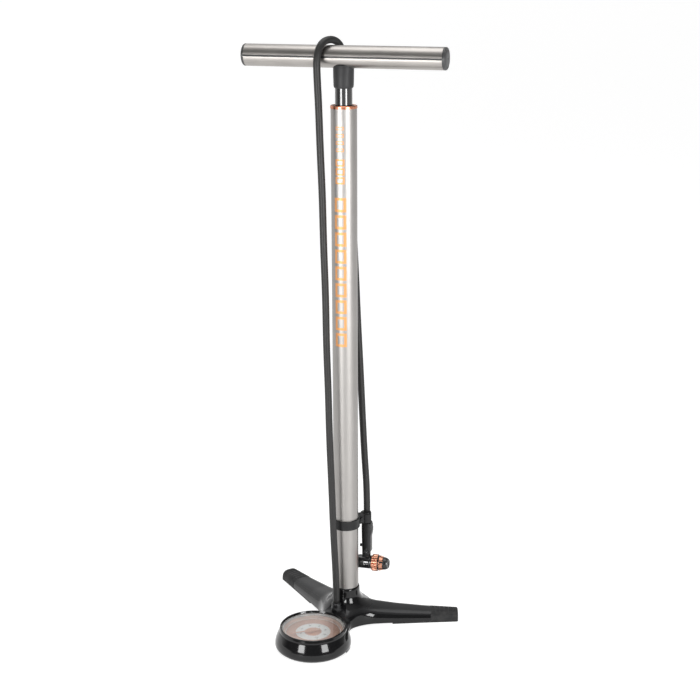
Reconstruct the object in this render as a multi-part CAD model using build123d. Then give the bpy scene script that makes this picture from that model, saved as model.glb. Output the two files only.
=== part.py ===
"""Floor bike pump, in millimetres.

+Z is up and the floor is the plane z = 0. The barrel stands on the Z axis. The gauge lies to the front, at -Y,
and the two foot legs spread to the rear. The handle is modelled fully down, as it rests in storage, turned a few
degrees about the barrel, with the hose looped over it and the pump head held in the clip on the barrel.
"""

from build123d import *
from math import atan2, cos, degrees, pi, radians, sin, sqrt, tan
import os

os.makedirs("parts", exist_ok=True)

# ---------------------------------------------------------------- driving dimensions
BARREL_R = 15.2  # outside radius of the barrel tube
BARREL_WALL = 1.6
BARREL_BOTTOM = 26.0
BARREL_TOP = 640.0
BORE_R = BARREL_R - BARREL_WALL
RUNNING = 0.04  # radial clearance of a running fit

ROD_R = 10.0
ROD_WALL = 1.5
HANDLE_Z = 697.5  # height of the handle tube's axis with the handle down
HANDLE_R = 12.7
HANDLE_WALL = 1.8
HANDLE_HALF = 117.5  # half length of the tube, without its end caps
HANDLE_TURN = 10.2  # degrees that the handle is turned about the barrel at rest
STROKE = 530.0  # travel of the handle

LEG_ANGLE = 27.8  # degrees from the X axis to each foot leg
LEG_REACH = 141.0  # from the barrel's axis to a leg's end
FRAME_BOTTOM = 1.5  # the frame hangs this far above the floor, on its rubber feet

GAUGE_Y = -84.3
BOWL_R = 46.4
LENS_R = 38.6
RIM_Z = 27.0  # top of the gauge's bezel

FITTING_Y = -26.0  # the hose leaves the base here, on the front centre line
NUT_LOW, NUT_R = 20.4, 7.0  # the fitting's nut sits in a round recess in the base
HOSE_R = 4.2

HEAD_X, HEAD_Y = 15.7, 25.7  # the pump head's stem axis in its clip
HEAD_ANGLE = 13.8  # degrees from the X axis to the way that the chuck points
CHUCK_Z = 69.6
CLIP_BOTTOM, CLIP_TOP = 125.5, 137.0

LOW = (Align.CENTER, Align.CENTER, Align.MIN)


# ---------------------------------------------------------------- shared shapes
def disc(radius, low, high, x=0.0, y=0.0):
    """A round plate between two heights."""
    return Pos(x, y, low) * Cylinder(radius, high - low, align=LOW)


def ring(outer, inner, low, high, x=0.0, y=0.0):
    """A plain ring between two heights."""
    return disc(outer, low, high, x, y) - disc(inner, low, high, x, y)


def block(x0, x1, y0, y1, z0, z1):
    """A box given by its faces."""
    return Pos((x0 + x1) / 2, (y0 + y1) / 2, (z0 + z1) / 2) * Box(x1 - x0, y1 - y0, z1 - z0)


def turned(outline, x=0.0, y=0.0):
    """A solid of revolution about the vertical through (x, y), from (radius, height) points."""
    profile = make_face(Polyline([(r, 0, z) for r, z in outline], close=True))
    return Pos(x, y, 0) * revolve(profile, Axis.Z)


def on_chuck(shape):
    """Takes a shape made along +Z from the stem's axis to the chuck's axis, in the head's own frame."""
    return Pos(0, 0, CHUCK_Z) * Rot(0, 90, 0) * shape


def at_head(shape):
    """Takes a shape from the head's own frame, chuck along +X and stem on Z, to its place in the clip."""
    return Pos(HEAD_X, HEAD_Y, 0) * Rot(0, 0, HEAD_ANGLE) * shape


def at_handle(shape):
    """Takes a shape from the handle's own frame, tube along X, to its resting turn."""
    return Rot(0, 0, HANDLE_TURN) * shape


def at_gauge(shape):
    """Takes a shape made about the Z axis to the gauge's axis."""
    return Pos(0, GAUGE_Y, 0) * shape


# ---------------------------------------------------------------- base frame
def crowned_section(along, half_width, skirt, crown, bottom):
    """A face across an arm of the base: flat underneath, short upright sides, an arched top."""
    across = Plane(origin=(along, 0, 0), x_dir=(0, 1, 0), z_dir=(1, 0, 0))
    edges = [
        Line((-half_width, bottom), (half_width, bottom)),
        Line((half_width, bottom), (half_width, skirt)),
        ThreePointArc((half_width, skirt), (0, crown), (-half_width, skirt)),
        Line((-half_width, skirt), (-half_width, bottom)),
    ]
    return across * make_face(edges)


def crowned_arm(sections, bottom=0.0):
    """An arm lofted through (along, half width, skirt height, crown height) sections."""
    return loft([crowned_section(*section, bottom) for section in sections])


LEG_SECTIONS = [(-4, 25, 11, 24), (30, 21.8, 10, 21), (62, 18.3, 8.6, 16.6), (100, 14.8, 7.6, 13.6)]
LEG_SECTIONS += [(LEG_REACH, 11.6, 7.0, 12)]
LEG_SKIN = 3.0
PAD_START = 106.0  # the rubber pad covers the leg from here out
SOLE_START = 58.0  # and its sole runs back under the leg to here
SOLE_THICKNESS = 2.5
NECK_SECTIONS = [(0, 24, 8, 24), (30, 22.5, 8, 20.5), (50, 30, 8, 22)]
HUB_TOP = 46.5
HUB_FLOOR_LOW, HUB_FLOOR_TOP = 16.0, 24.0
SPIGOT_R = 6.5
CAVITY_R = 39.2
CAVITY_FLOOR = 7.0
SEAT_Z = 22.5  # the bezel sits on the bowl here


def leg_shell():
    """One foot leg as a full solid along +X, down to the floor."""
    leg = loft([crowned_section(*section, -1.0) for section in LEG_SECTIONS])
    end_face = leg.faces().sort_by(Axis.X)[-1]
    upright = end_face.edges().sort_by(Axis.Y)
    return fillet([upright[0], upright[-1]], 2.4) & block(-20, 200, -40, 40, 0, 60)


def leg_core():
    """The tongue of the frame that the rubber pad is moulded over."""
    inset = [(s, w - LEG_SKIN, e, c - LEG_SKIN) for s, w, e, c in LEG_SECTIONS[2:]]
    tongue = crowned_arm(inset, SOLE_THICKNESS)
    return tongue & block(PAD_START - 8, LEG_REACH - LEG_SKIN, -30, 30, 0, 40)


def frame_leg():
    """The hard part of a leg: hollow underneath, ribbed, with the pad's tongue at its end."""
    leg = leg_shell() & block(-10, PAD_START, -40, 40, FRAME_BOTTOM, 60)
    leg -= block(SOLE_START, PAD_START, -40, 40, 0, SOLE_THICKNESS)
    hollow = crowned_arm([(s, w - 3.2, e, c - 3.2) for s, w, e, c in LEG_SECTIONS[1:]], -1.0)
    for start in (32, 50, 68, 86):
        leg -= hollow & block(start, start + 15.5, -40, 40, -2, 40)
    return leg + leg_core()


def leg_pad():
    """The rubber pad: a cap over the leg's end, a sole under it, and grip grooves across its top."""
    leg = leg_shell()
    pad = leg & block(PAD_START, 200, -40, 40, 0, 60)
    pad += leg & block(SOLE_START, PAD_START, -40, 40, 0, SOLE_THICKNESS)
    floor_of_grooves = crowned_arm([(s, w, e - 0.7, c - 0.7) for s, w, e, c in LEG_SECTIONS])
    for number in range(5):
        start = PAD_START + 5.0 + 5.4 * number
        pad -= block(start, start + 1.6, -7.5, 7.5, 4, 40) - floor_of_grooves
    return pad - leg_core()


def hub():
    """The socket that the barrel stands in, flared into the arms."""
    edges = [
        Line((0, 0, FRAME_BOTTOM), (30, 0, FRAME_BOTTOM)),
        Line((30, 0, FRAME_BOTTOM), (30, 0, 17)),
        ThreePointArc((30, 0, 17), (20.4, 0, 28), (17.0, 0, 42)),
        Line((17.0, 0, 42), (16.4, 0, HUB_TOP)),
        Line((16.4, 0, HUB_TOP), (0, 0, HUB_TOP)),
        Line((0, 0, HUB_TOP), (0, 0, FRAME_BOTTOM)),
    ]
    return revolve(make_face(edges), Axis.Z)


def gauge_bowl():
    """The round front of the base that the gauge drops into."""
    outer_foot = 44.2
    edges = [
        Line((0, 0, FRAME_BOTTOM), (outer_foot, 0, FRAME_BOTTOM)),
        ThreePointArc((outer_foot, 0, FRAME_BOTTOM), (45.9, 0, 2.9), (BOWL_R, 0, 5.5)),
        ThreePointArc((BOWL_R, 0, 5.5), (44.6, 0, 14.0), (40.9, 0, SEAT_Z)),
        Line((40.9, 0, SEAT_Z), (0, 0, SEAT_Z)),
        Line((0, 0, SEAT_Z), (0, 0, FRAME_BOTTOM)),
    ]
    return at_gauge(revolve(make_face(edges), Axis.Z))


def base_frame():
    """The moulded tripod: two legs, hub, neck and gauge bowl in one piece."""
    leg = frame_leg()
    frame = hub() + Rot(0, 0, LEG_ANGLE) * leg + Rot(0, 0, 180 - LEG_ANGLE) * leg
    neck = crowned_arm(NECK_SECTIONS, FRAME_BOTTOM)
    frame += Rot(0, 0, -90) * neck
    frame += gauge_bowl()
    frame -= at_gauge(disc(CAVITY_R, CAVITY_FLOOR, 60))
    frame -= at_gauge(disc(36, 0, 4))
    frame -= disc(BARREL_R, HUB_FLOOR_TOP, HUB_TOP)
    frame -= disc(SPIGOT_R + 0.2, 0, HUB_FLOOR_TOP)
    frame -= block(-9, 9, -40, 11, 0, HUB_FLOOR_LOW)
    frame -= disc(5.0, 0, 40, 0, FITTING_Y) + disc(NUT_R + 0.5, NUT_LOW, 60, 0, FITTING_Y)
    feed_hole = Pos(0, -42, 12) * Rot(90, 0, 0) * Cylinder(2.4, 20)
    return frame - feed_hole


def front_foot():
    """The rubber ring under the gauge bowl."""
    return at_gauge(ring(42.5, 37, 0, FRAME_BOTTOM))


# ---------------------------------------------------------------- barrel and check valve
CAP_TOP = BARREL_TOP + 3.5
GUIDE_R = 12.3
GUIDE_LOW = 618.0
PLUG_TOP = 42.0
CHAMBER_R = 5.0
SEAT_HEIGHT = 38.0  # the check valve closes upwards against this face
SPIGOT_TOP = 29.0
VALVE_LIFT = 1.5


def barrel_tube():
    return ring(BARREL_R, BORE_R, BARREL_BOTTOM, BARREL_TOP)


def barrel_cap():
    """The screwed cap: a thin flange over the tube and a threaded skirt inside it."""
    skirt_low = GUIDE_LOW - 2
    outline = [
        (GUIDE_R + RUNNING, CAP_TOP - 0.6),
        (14.9, CAP_TOP),
        (15.7, CAP_TOP - 0.8),
        (15.7, BARREL_TOP),
        (BORE_R, BARREL_TOP),
        (BORE_R, skirt_low),
        (ROD_R + 0.6, skirt_low),
        (ROD_R + 0.6, GUIDE_LOW),
        (GUIDE_R + RUNNING, GUIDE_LOW),
    ]
    return turned(outline)


def rod_guide():
    """The bush that the rod slides in. It can turn with the rod inside the cap."""
    bush = ring(GUIDE_R, ROD_R + RUNNING, GUIDE_LOW + 0.1, CAP_TOP - 0.7)
    return bush - ring(ROD_R + 1.6, ROD_R - 1, CAP_TOP - 4.2, CAP_TOP - 2.2)


def rod_wiper():
    """The rubber wiper ring in the bush's groove."""
    return ring(ROD_R + 1.6, ROD_R + RUNNING, CAP_TOP - 4.2, CAP_TOP - 2.2)


def barrel_plug():
    """Closes the barrel's foot, and holds the check valve in its chamber."""
    body = disc(BARREL_R, HUB_FLOOR_TOP, BARREL_BOTTOM) + disc(BORE_R, BARREL_BOTTOM, PLUG_TOP)
    body -= disc(2.0, SEAT_HEIGHT - 1, PLUG_TOP + 1)
    body -= disc(CHAMBER_R, SPIGOT_TOP - 1, SEAT_HEIGHT)
    body -= disc(SPIGOT_R, HUB_FLOOR_TOP - 1, SPIGOT_TOP)
    return body - ring(BORE_R + 1, BORE_R - 1.7, 33.0, 35.4)


def plug_seal():
    return ring(BORE_R, BORE_R - 1.7, 33.0, 35.4)


def valve_poppet():
    """The check valve's moving disc, with a stem inside its spring."""
    face = disc(4.4, SEAT_HEIGHT - 2.4, SEAT_HEIGHT - 0.02)
    return face + disc(1.6, SEAT_HEIGHT - 5.0, SEAT_HEIGHT - 2.4)


def valve_spring():
    """A round-wire spring between the manifold's spigot and the poppet, as a wound tube."""
    return ring(3.3, 2.4, SPIGOT_TOP, SEAT_HEIGHT - 2.4)


def air_manifold():
    """Screws up through the hub into the plug, clamping the barrel, and leads the air forward."""
    body = block(-8, 8, -38, 9.5, 7.0, HUB_FLOOR_LOW) + disc(SPIGOT_R, HUB_FLOOR_LOW, SPIGOT_TOP)
    gallery = Pos(0, -18, 11.5) * Rot(90, 0, 0) * Cylinder(1.6, 42)
    body -= gallery + disc(1.6, 11.5, SPIGOT_TOP)
    return body - disc(4.0, 10, HUB_FLOOR_LOW, 0, FITTING_Y)


def feed_pipe():
    """The thin pipe from the manifold to the gauge's socket."""
    return Pos(0, -48.15, 11.5) * Rot(90, 0, 0) * (Cylinder(1.9, 20.3) - Cylinder(1.0, 20.3))


# ---------------------------------------------------------------- hose and its base fitting
FITTING_TOP = 32.0


def hose_fitting():
    """The swivel nut and crimped sleeve that the hose rises from, screwed into the manifold."""
    outline = [
        (0, 10.2),
        (4.0, 10.2),
        (4.0, HUB_FLOOR_LOW),
        (4.9, HUB_FLOOR_LOW),
        (4.9, NUT_LOW),
        (NUT_R, NUT_LOW),
        (NUT_R, 25.5),
        (6.5, 26.2),
        (6.2, 31.0),
        (5.6, FITTING_TOP),
        (0, FITTING_TOP),
    ]
    return turned(outline, 0, FITTING_Y)


SOCKET_TOP = 138.5
HOSE_ROUTE = [
    (0, FITTING_Y, FITTING_TOP),
    (0, FITTING_Y, 62),
    (-2.0, -28.4, 122),
    (-3.7, -29.6, 188),
    (-6.4, -30.6, 248),
    (-8.2, -30.4, 308),
    (-10.8, -30.5, 366),
    (-12.4, -29.6, 425),
    (-15.0, -29.0, 484),
    (-16.6, -27.6, 543),
    (-19.0, -26.5, 598),
    (-20.6, -25.4, 644),
    (-21.8, -25.8, 676),
    (-22.2, -25.4, 699),
    (-20.4, -16.6, 714),
    (-16.0, 1.7, 717.0),
    (-12.6, 16.7, 709.5),
    (-11.0, 24.2, 688),
    (-10.4, 25.6, 656),
    (-9.8, 28.8, 610),
    (-7.0, 30.2, 558),
    (-5.2, 30.6, 500),
    (-1.8, 30.4, 441),
    (0.4, 31.2, 382),
    (4.6, 29.7, 323),
    (7.6, 29.4, 264),
    (11.8, 27.0, 210),
    (HEAD_X, HEAD_Y, 168),
    (HEAD_X, HEAD_Y, SOCKET_TOP),
]


def corner_radii(route):
    """The largest arc at each inner point of a route: 0.45 of its shorter run, over tan of half the turn."""
    radii = []
    for before, here, after in zip(route, route[1:], route[2:]):
        run_in, run_out = Vector(*here) - Vector(*before), Vector(*after) - Vector(*here)
        half_turn = radians(run_in.get_angle(run_out)) / 2
        radii.append(0.45 * min(run_in.length, run_out.length) / tan(half_turn))
    return radii


def hose():
    """The rubber hose, from the base fitting up over the handle and down behind the barrel to the head."""
    radii = corner_radii(HOSE_ROUTE)
    path = FilletPolyline(*HOSE_ROUTE, radius=radii)
    section = Plane(origin=path @ 0, z_dir=path % 0) * Circle(HOSE_R)
    tube = sweep(section, path=path)
    print("hose length", round(path.length, 1), "tightest bends", sorted(round(r) for r in radii)[:6])
    print("volume over section times length", round(tube.volume / (pi * HOSE_R**2 * path.length), 4))
    return tube


# ---------------------------------------------------------------- handle, rod and piston
COLLAR_LOW = 662.5
ROD_LOW, ROD_TOP = 58.0, 681.0
GROOVE_HALF, GROOVE_DEPTH = 1.1, 0.8
BOLT_HEAD_R = 5.6


def along_handle(radius, x0, x1):
    """A round bar along the handle's axis, in the handle's frame."""
    return Pos((x0 + x1) / 2, 0, HANDLE_Z) * Rot(0, 90, 0) * Cylinder(radius, x1 - x0)


def side_strip(depth_from, depth_to, half):
    """Strips along both sides of the handle tube, between two depths below its surface."""
    y_out, y_in = HANDLE_R - depth_from, HANDLE_R - depth_to
    front = block(-HANDLE_HALF, HANDLE_HALF, -y_out, -y_in, HANDLE_Z - half, HANDLE_Z + half)
    back = block(-HANDLE_HALF, HANDLE_HALF, y_in, y_out, HANDLE_Z - half, HANDLE_Z + half)
    return front, back


def handle_tube():
    """The tube of the handle, with an inlay groove along its front and its back."""
    tube = along_handle(HANDLE_R, -HANDLE_HALF, HANDLE_HALF)
    tube -= along_handle(HANDLE_R - HANDLE_WALL, -HANDLE_HALF, HANDLE_HALF)
    for strip in side_strip(-1, GROOVE_DEPTH, GROOVE_HALF):
        tube -= strip
    return at_handle(tube - disc(4.1, HANDLE_Z - 20, HANDLE_Z))


def handle_inlays():
    """The two thin strips that lie in the handle's grooves."""
    return Compound(children=[at_handle(s) for s in side_strip(0.35, GROOVE_DEPTH, GROOVE_HALF)])


def handle_cap(side):
    """A moulded plug in one end of the handle: a thin domed flange and a ribbed spigot."""
    outline = [
        (0, -16),
        (HANDLE_R - HANDLE_WALL - 0.6, -16),
        (HANDLE_R - HANDLE_WALL, -14),
        (HANDLE_R - HANDLE_WALL, 0),
        (HANDLE_R, 0),
        (HANDLE_R, 2.2),
        (HANDLE_R - 0.9, 3.2),
        (6.5, 3.9),
        (0, 4.0),
    ]
    plug = turned(outline) - disc(8.6, -17, -1.5)
    placed = Pos(side * HANDLE_HALF, 0, HANDLE_Z) * Rot(0, side * 90, 0) * plug
    return at_handle(placed)


def handle_collar():
    """The moulded saddle under the handle tube that takes the top of the rod."""
    top = Plane.XY.offset(HANDLE_Z - 4) * Ellipse(12.2, 9.7)
    waist = Plane.XY.offset(672) * Ellipse(12.1, 11.8)
    low = Plane.XY.offset(667) * Circle(11.7)
    collar = loft([low, waist]) + loft([waist, top])
    collar += turned([(0, COLLAR_LOW), (10.6, COLLAR_LOW), (11.3, 664), (11.7, 667), (0, 667)])
    collar -= along_handle(HANDLE_R, -40, 40)
    collar -= disc(ROD_R, COLLAR_LOW - 1, ROD_TOP)
    return at_handle(collar - disc(4.1, ROD_TOP - 1, HANDLE_Z))


def handle_bolt():
    """The socket-head bolt that draws the handle tube down on to the rod."""
    head_low = HANDLE_Z - sqrt((HANDLE_R - HANDLE_WALL) ** 2 - BOLT_HEAD_R**2) + 0.02
    bolt = disc(4.0, ROD_TOP - 16, head_low) + disc(BOLT_HEAD_R, head_low, head_low + 6)
    return bolt - extrude(Plane.XY.offset(head_low + 3) * RegularPolygon(3.0, 6), 6)


def piston_rod():
    return ring(ROD_R, ROD_R - ROD_WALL, ROD_LOW, ROD_TOP)


def rod_top_plug():
    """The threaded plug pressed into the top of the rod."""
    return ring(ROD_R - ROD_WALL, 4.0, ROD_TOP - 18, ROD_TOP)


PISTON_LOW, PISTON_TOP = 46.0, 64.0


def piston():
    """The moulded piston with its seal groove and a spigot inside the rod."""
    body = disc(BORE_R - 0.4, PISTON_LOW, 58) + ring(BORE_R - 0.4, ROD_R, 58, PISTON_TOP)
    body += disc(ROD_R - ROD_WALL, 58, 74)
    body -= ring(BORE_R, 11.4, 50.0, 54.0)
    return body - disc(2.6, PISTON_LOW - 1, 75) - disc(4.9, PISTON_LOW - 1, 50)


def piston_seal():
    return ring(BORE_R - 0.03, 11.4, 50.1, 53.9)


def piston_screw():
    return disc(2.6, 50, 72) + disc(4.9, 46.6, 50)


def rod_bumper():
    """The rubber ring on the rod above the piston, which softens the top of the stroke."""
    return ring(12.8, ROD_R, PISTON_TOP, PISTON_TOP + 8)


# ---------------------------------------------------------------- gauge
SURROUND_LOW = 17.3
DIAL_LOW, DIAL_TOP = 16.4, 17.2
CASE_FLOOR = 8.2
BOURDON_R = 25.0


def gauge_case():
    """The pressed cup of the gauge, with a slot for its socket."""
    cup = disc(CAVITY_R - 0.2, CAVITY_FLOOR, SEAT_Z) - disc(CAVITY_R - 1.1, CASE_FLOOR, SEAT_Z)
    return at_gauge(cup - block(-3.2, 3.2, 30, 45, CASE_FLOOR, 15.8))


def gauge_bezel():
    """The snap-on ring that holds the lens down."""
    outline = [
        (LENS_R + 0.1, SEAT_Z),
        (40.9, SEAT_Z),
        (40.7, 24.2),
        (40.0, 26.5),
        (39.4, RIM_Z),
        (38.3, RIM_Z),
        (LENS_R - 1.0, 25.6),
        (LENS_R + 0.1, 25.6),
    ]
    return at_gauge(turned(outline))


def gauge_lens():
    """The clear disc, bevelled round its upper edge."""
    outline = [(0, 23), (LENS_R, 23), (LENS_R, 25.2), (LENS_R - 1.4, 25.5), (0, 25.5)]
    return at_gauge(turned(outline))


def dial_surround():
    """The bright sloping ring between the lens and the dial."""
    outline = [(38.0, 22.9), (37.2, 22.9), (33.4, SURROUND_LOW), (35.2, SURROUND_LOW), (38.0, 21.5)]
    return at_gauge(turned(outline))


def gauge_dial():
    return at_gauge(ring(34.6, 1.4, DIAL_LOW, DIAL_TOP))


def needle():
    """The pointer, tapered to its tip, with a counterweight tail and a hub cap."""
    tip = make_face(Polyline((0.35, 30), (1.3, 0), (2.0, -9), (-2.0, -9), (-1.3, 0), (-0.35, 30), close=True))
    pointer = extrude(Plane.XY.offset(18.9) * tip, 0.5) + disc(3.2, 18.4, 20.2)
    return at_gauge(Rot(0, 0, 135) * (pointer - disc(0.8, 18, 19.6)))


PINION_TEETH, WHEEL_TEETH, MODULE = 12, 72, 0.42
PINION_R, WHEEL_R = PINION_TEETH * MODULE / 2, WHEEL_TEETH * MODULE / 2


def tooth(pitch_r, angle):
    """A slim straight-sided tooth as points round a pitch circle, at an angle in degrees."""
    pitch_angle = degrees(0.20 * pi * MODULE / pitch_r)
    root, tip = pitch_r - 1.25 * MODULE, pitch_r + 0.75 * MODULE
    spots = [(root, -1.5), (tip, -0.55), (tip, 0.55), (root, 1.5)]
    turns = [(r, radians(angle + share * pitch_angle)) for r, share in spots]
    return [(r * cos(a), r * sin(a)) for r, a in turns]


def pinion_arbor():
    """The needle's spindle with its small gear."""
    corners = [p for n in range(PINION_TEETH) for p in tooth(PINION_R, 360 / PINION_TEETH * (n + 0.5))]
    gear = extrude(Plane.XY.offset(11.4) * make_face(Polyline(corners, close=True)), 2.0)
    return at_gauge(gear + disc(0.8, 8.9, 19.6))


def sector_gear():
    """The toothed quadrant that the pressure tube pulls, driving the needle's pinion."""
    step = 360 / WHEEL_TEETH
    teeth = [p for n in range(10, -2, -1) for p in tooth(WHEEL_R, 180 - step * n)]
    rim = make_face(Polyline([(0, 0)] + teeth, close=True))
    arm = extrude(Plane.XY.offset(11.7) * rim, 1.4) + disc(2.4, 11.7, 13.1)
    sector = arm - disc(0.8, 11, 14)
    return Pos(PINION_R + WHEEL_R, GAUGE_Y, 0) * sector


def movement_frame():
    """Two plates on pillars that carry the arbor and the sector's pivot."""
    plates = [block(-3, 21, -5, 5, low, low + 0.9) for low in (CASE_FLOOR + 0.6, 14.6)]
    pillars = disc(1.1, CASE_FLOOR, 15.5, -1.6, 3.8) + disc(1.1, CASE_FLOOR, 15.5, -1.6, -3.8)
    pivot = disc(0.75, CASE_FLOOR + 0.6, 15.5, PINION_R + WHEEL_R, 0)
    frame = plates[0] + plates[1] + pillars + pivot
    return at_gauge(frame - disc(0.84, 8, 16))


def gauge_socket():
    """The brass block that takes the feed pipe and holds the pressure tube's open end."""
    body = block(-3, 3, 19, 31, CASE_FLOOR, 15.6) + block(-2.8, 2.8, 31, 38, 9.0, 15.0)
    body -= Pos(0, 34, 11.5) * Rot(90, 0, 0) * Cylinder(1.9, 16)
    return at_gauge(body - Pos(0, 24, 11.5) * Rot(90, 0, 0) * Cylinder(1.0, 6))


def bourdon_tube():
    """The flattened C-shaped tube that uncurls under pressure."""
    face = Plane.XZ * Pos(BOURDON_R, 12.0) * Rectangle(2.4, 6.0)
    sweep_angle = 245
    start = 90 + degrees(atan2(3.05, BOURDON_R)) + 3
    return at_gauge(Rot(0, 0, start) * revolve(face, Axis.Z, revolution_arc=sweep_angle))


# ---------------------------------------------------------------- clip on the barrel
CLIP_R = 5.9
STEM_REACH = sqrt(HEAD_X**2 + HEAD_Y**2)
CLIP_ANGLE = degrees(atan2(HEAD_Y, HEAD_X))
BAND_R = 17.1


def clip_band():
    """The moulded band round the barrel, with the open jaw that the pump head snaps into."""
    band = ring(BAND_R, BARREL_R, CLIP_BOTTOM, CLIP_TOP)
    jaw = ring(CLIP_R + 2.2, CLIP_R, CLIP_BOTTOM, CLIP_TOP, STEM_REACH, 0)
    mouth = block(STEM_REACH + 1.5, STEM_REACH + 20, -20, 20, 0, 200)
    bridge = block(BAND_R - 1, STEM_REACH - CLIP_R - 1, -4.5, 4.5, CLIP_BOTTOM, CLIP_TOP)
    clip = band + bridge + (jaw - mouth)
    split = block(BARREL_R - 2, 20.6, -0.8, 0.8, CLIP_BOTTOM, CLIP_TOP)
    hole = Pos(19.2, 0, (CLIP_BOTTOM + CLIP_TOP) / 2) * Rot(90, 0, 0) * Cylinder(1.55, 12)
    return Rot(0, 0, CLIP_ANGLE) * (clip - split - hole)


def clip_screw():
    """The small screw that pinches the band shut, and its nut on the far side."""
    shank = Cylinder(1.5, 12.4) + Pos(0, 0, 6.0) * Cylinder(2.6, 1.6)
    screw = shank - Pos(0, 0, 6.4) * Box(4.4, 0.7, 1.0)
    nut = Pos(0, 0, -5.6) * (extrude(RegularPolygon(2.7, 6), 2.0, both=False) - Cylinder(1.5, 9))
    place = Pos(19.2, 0, (CLIP_BOTTOM + CLIP_TOP) / 2) * Rot(90, 0, 0)
    return Rot(0, 0, CLIP_ANGLE) * place * screw, Rot(0, 0, CLIP_ANGLE) * place * Pos(0, 0, -0.9) * nut


# ---------------------------------------------------------------- pump head
SOCKET_LOW = 125.2
STEM_BACK, STEM_FRONT, STEM_HALF = -6.6, 4.6, 4.4
PIVOT_X, PIVOT_Z, PIVOT_R = 1.6, 86.0, 1.5
CHUCK_BACK, COLLAR_START, COLLAR_END, NOSE_END = -13.0, 7.2, 21.4, 28.6
CHUCK_R = 8.6
VALVE_R = 4.1
VALVE_DEPTH = 12.0


def head_body():
    """The head's moulded body: an upright stem with a round socket on top, and the chuck across its foot."""
    stem = block(STEM_BACK, STEM_FRONT, -STEM_HALF, STEM_HALF, 62, SOCKET_LOW)
    stem = fillet(stem.edges().filter_by(Axis.Z), 2.6)
    stem += disc(CLIP_R - 0.25, SOCKET_LOW - 1, SOCKET_TOP)
    chuck = on_chuck(turned([(0, CHUCK_BACK), (7.0, CHUCK_BACK), (CHUCK_R, CHUCK_BACK + 2.4),
                             (CHUCK_R, COLLAR_START - 0.2), (6.6, COLLAR_START - 0.2),
                             (6.6, 15.5), (0, 15.5)]))
    body = stem + chuck
    body -= on_chuck(disc(5.0, 2.0, 16))
    body -= Pos(PIVOT_X, 0, PIVOT_Z) * Rot(90, 0, 0) * Cylinder(PIVOT_R, 20)
    body -= Pos(STEM_BACK, 0, 92) * Rot(0, 90, 0) * Cylinder(2.0, 8)
    return at_head(body)


def thumb_lever():
    """The channel-shaped lever that lies up the stem and flips out over the chuck."""
    inner, outer = STEM_HALF + 0.25, STEM_HALF + 1.75
    thumb_top = SOCKET_LOW - 1.5
    channel = block(-2.2, 6.0, -outer, outer, PIVOT_Z, thumb_top)
    channel = fillet(channel.edges().filter_by(Axis.Z).sort_by(Axis.X)[-2:], 1.8)
    channel += block(-2.6, 7.4, -outer - 0.5, outer + 0.5, 108, thumb_top)
    channel += Pos(PIVOT_X, 0, PIVOT_Z) * Rot(90, 0, 0) * Cylinder(4.2, 2 * outer)
    channel -= block(-10, STEM_FRONT + 0.3, -inner, inner, 60, 140)
    channel -= block(-10, 12, -inner, inner, 60, PIVOT_Z + 7)
    return at_head(channel - Pos(PIVOT_X, 0, PIVOT_Z) * Rot(90, 0, 0) * Cylinder(PIVOT_R, 20))


def lever_pin():
    length = 2 * (STEM_HALF + 1.75) + 0.6
    return at_head(Pos(PIVOT_X, 0, PIVOT_Z) * Rot(90, 0, 0) * Cylinder(PIVOT_R - RUNNING, length))


def chuck_collar():
    """The anodised grip collar, scalloped in two bands, that screws on over the gasket."""
    outline = [(6.7, 7.3), (10.2, 7.3), (10.6, 7.8), (10.6, 14.6), (10.0, 15.1), (8.6, 15.3), (8.6, 16.4),
               (9.8, 16.7), (8.4, COLLAR_END), (7.2, COLLAR_END), (7.2, 16.0), (6.7, 16.0)]
    collar = turned(outline)
    for number in range(12):
        flute = Pos(11.3, 0, 0) * Cylinder(1.6, 30, align=LOW)
        collar -= Rot(0, 0, 30 * number) * (flute & disc(14, 8.6, 14.0))
    for number in range(8):
        notch = Pos(10.1, 0, 0) * Cylinder(1.3, 30, align=LOW)
        collar -= Rot(0, 0, 45 * number + 22.5) * (notch & disc(14, 17.4, COLLAR_END))
    return at_head(on_chuck(collar))


def chuck_nose():
    """The black nose that the tyre valve goes into."""
    outline = [(VALVE_R, 16.4), (7.1, 16.4), (7.1, COLLAR_END), (8.0, COLLAR_END), (7.6, 24.5), (6.4, 27.6),
               (5.6, NOSE_END), (VALVE_R + 0.6, NOSE_END), (VALVE_R, NOSE_END - 0.6)]
    return at_head(on_chuck(turned(outline)))


def valve_gasket():
    """The rubber that grips the tyre valve."""
    return at_head(on_chuck(ring(6.4, 2.6, 15.7, 16.3)))


def lock_plunger():
    """The cam-driven plunger that squeezes the gasket."""
    return at_head(on_chuck(ring(4.9, 1.4, 4.2, 13.2)))


def bleed_button():
    """The small press button on the stem's back that lets excess air out."""
    cap = Pos(STEM_BACK - 0.1, 0, 92) * Rot(0, 90, 0) * Cylinder(2.0 - RUNNING, 4.4)
    return at_head(fillet(cap.edges().sort_by(Axis.X)[0], 0.5))


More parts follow.
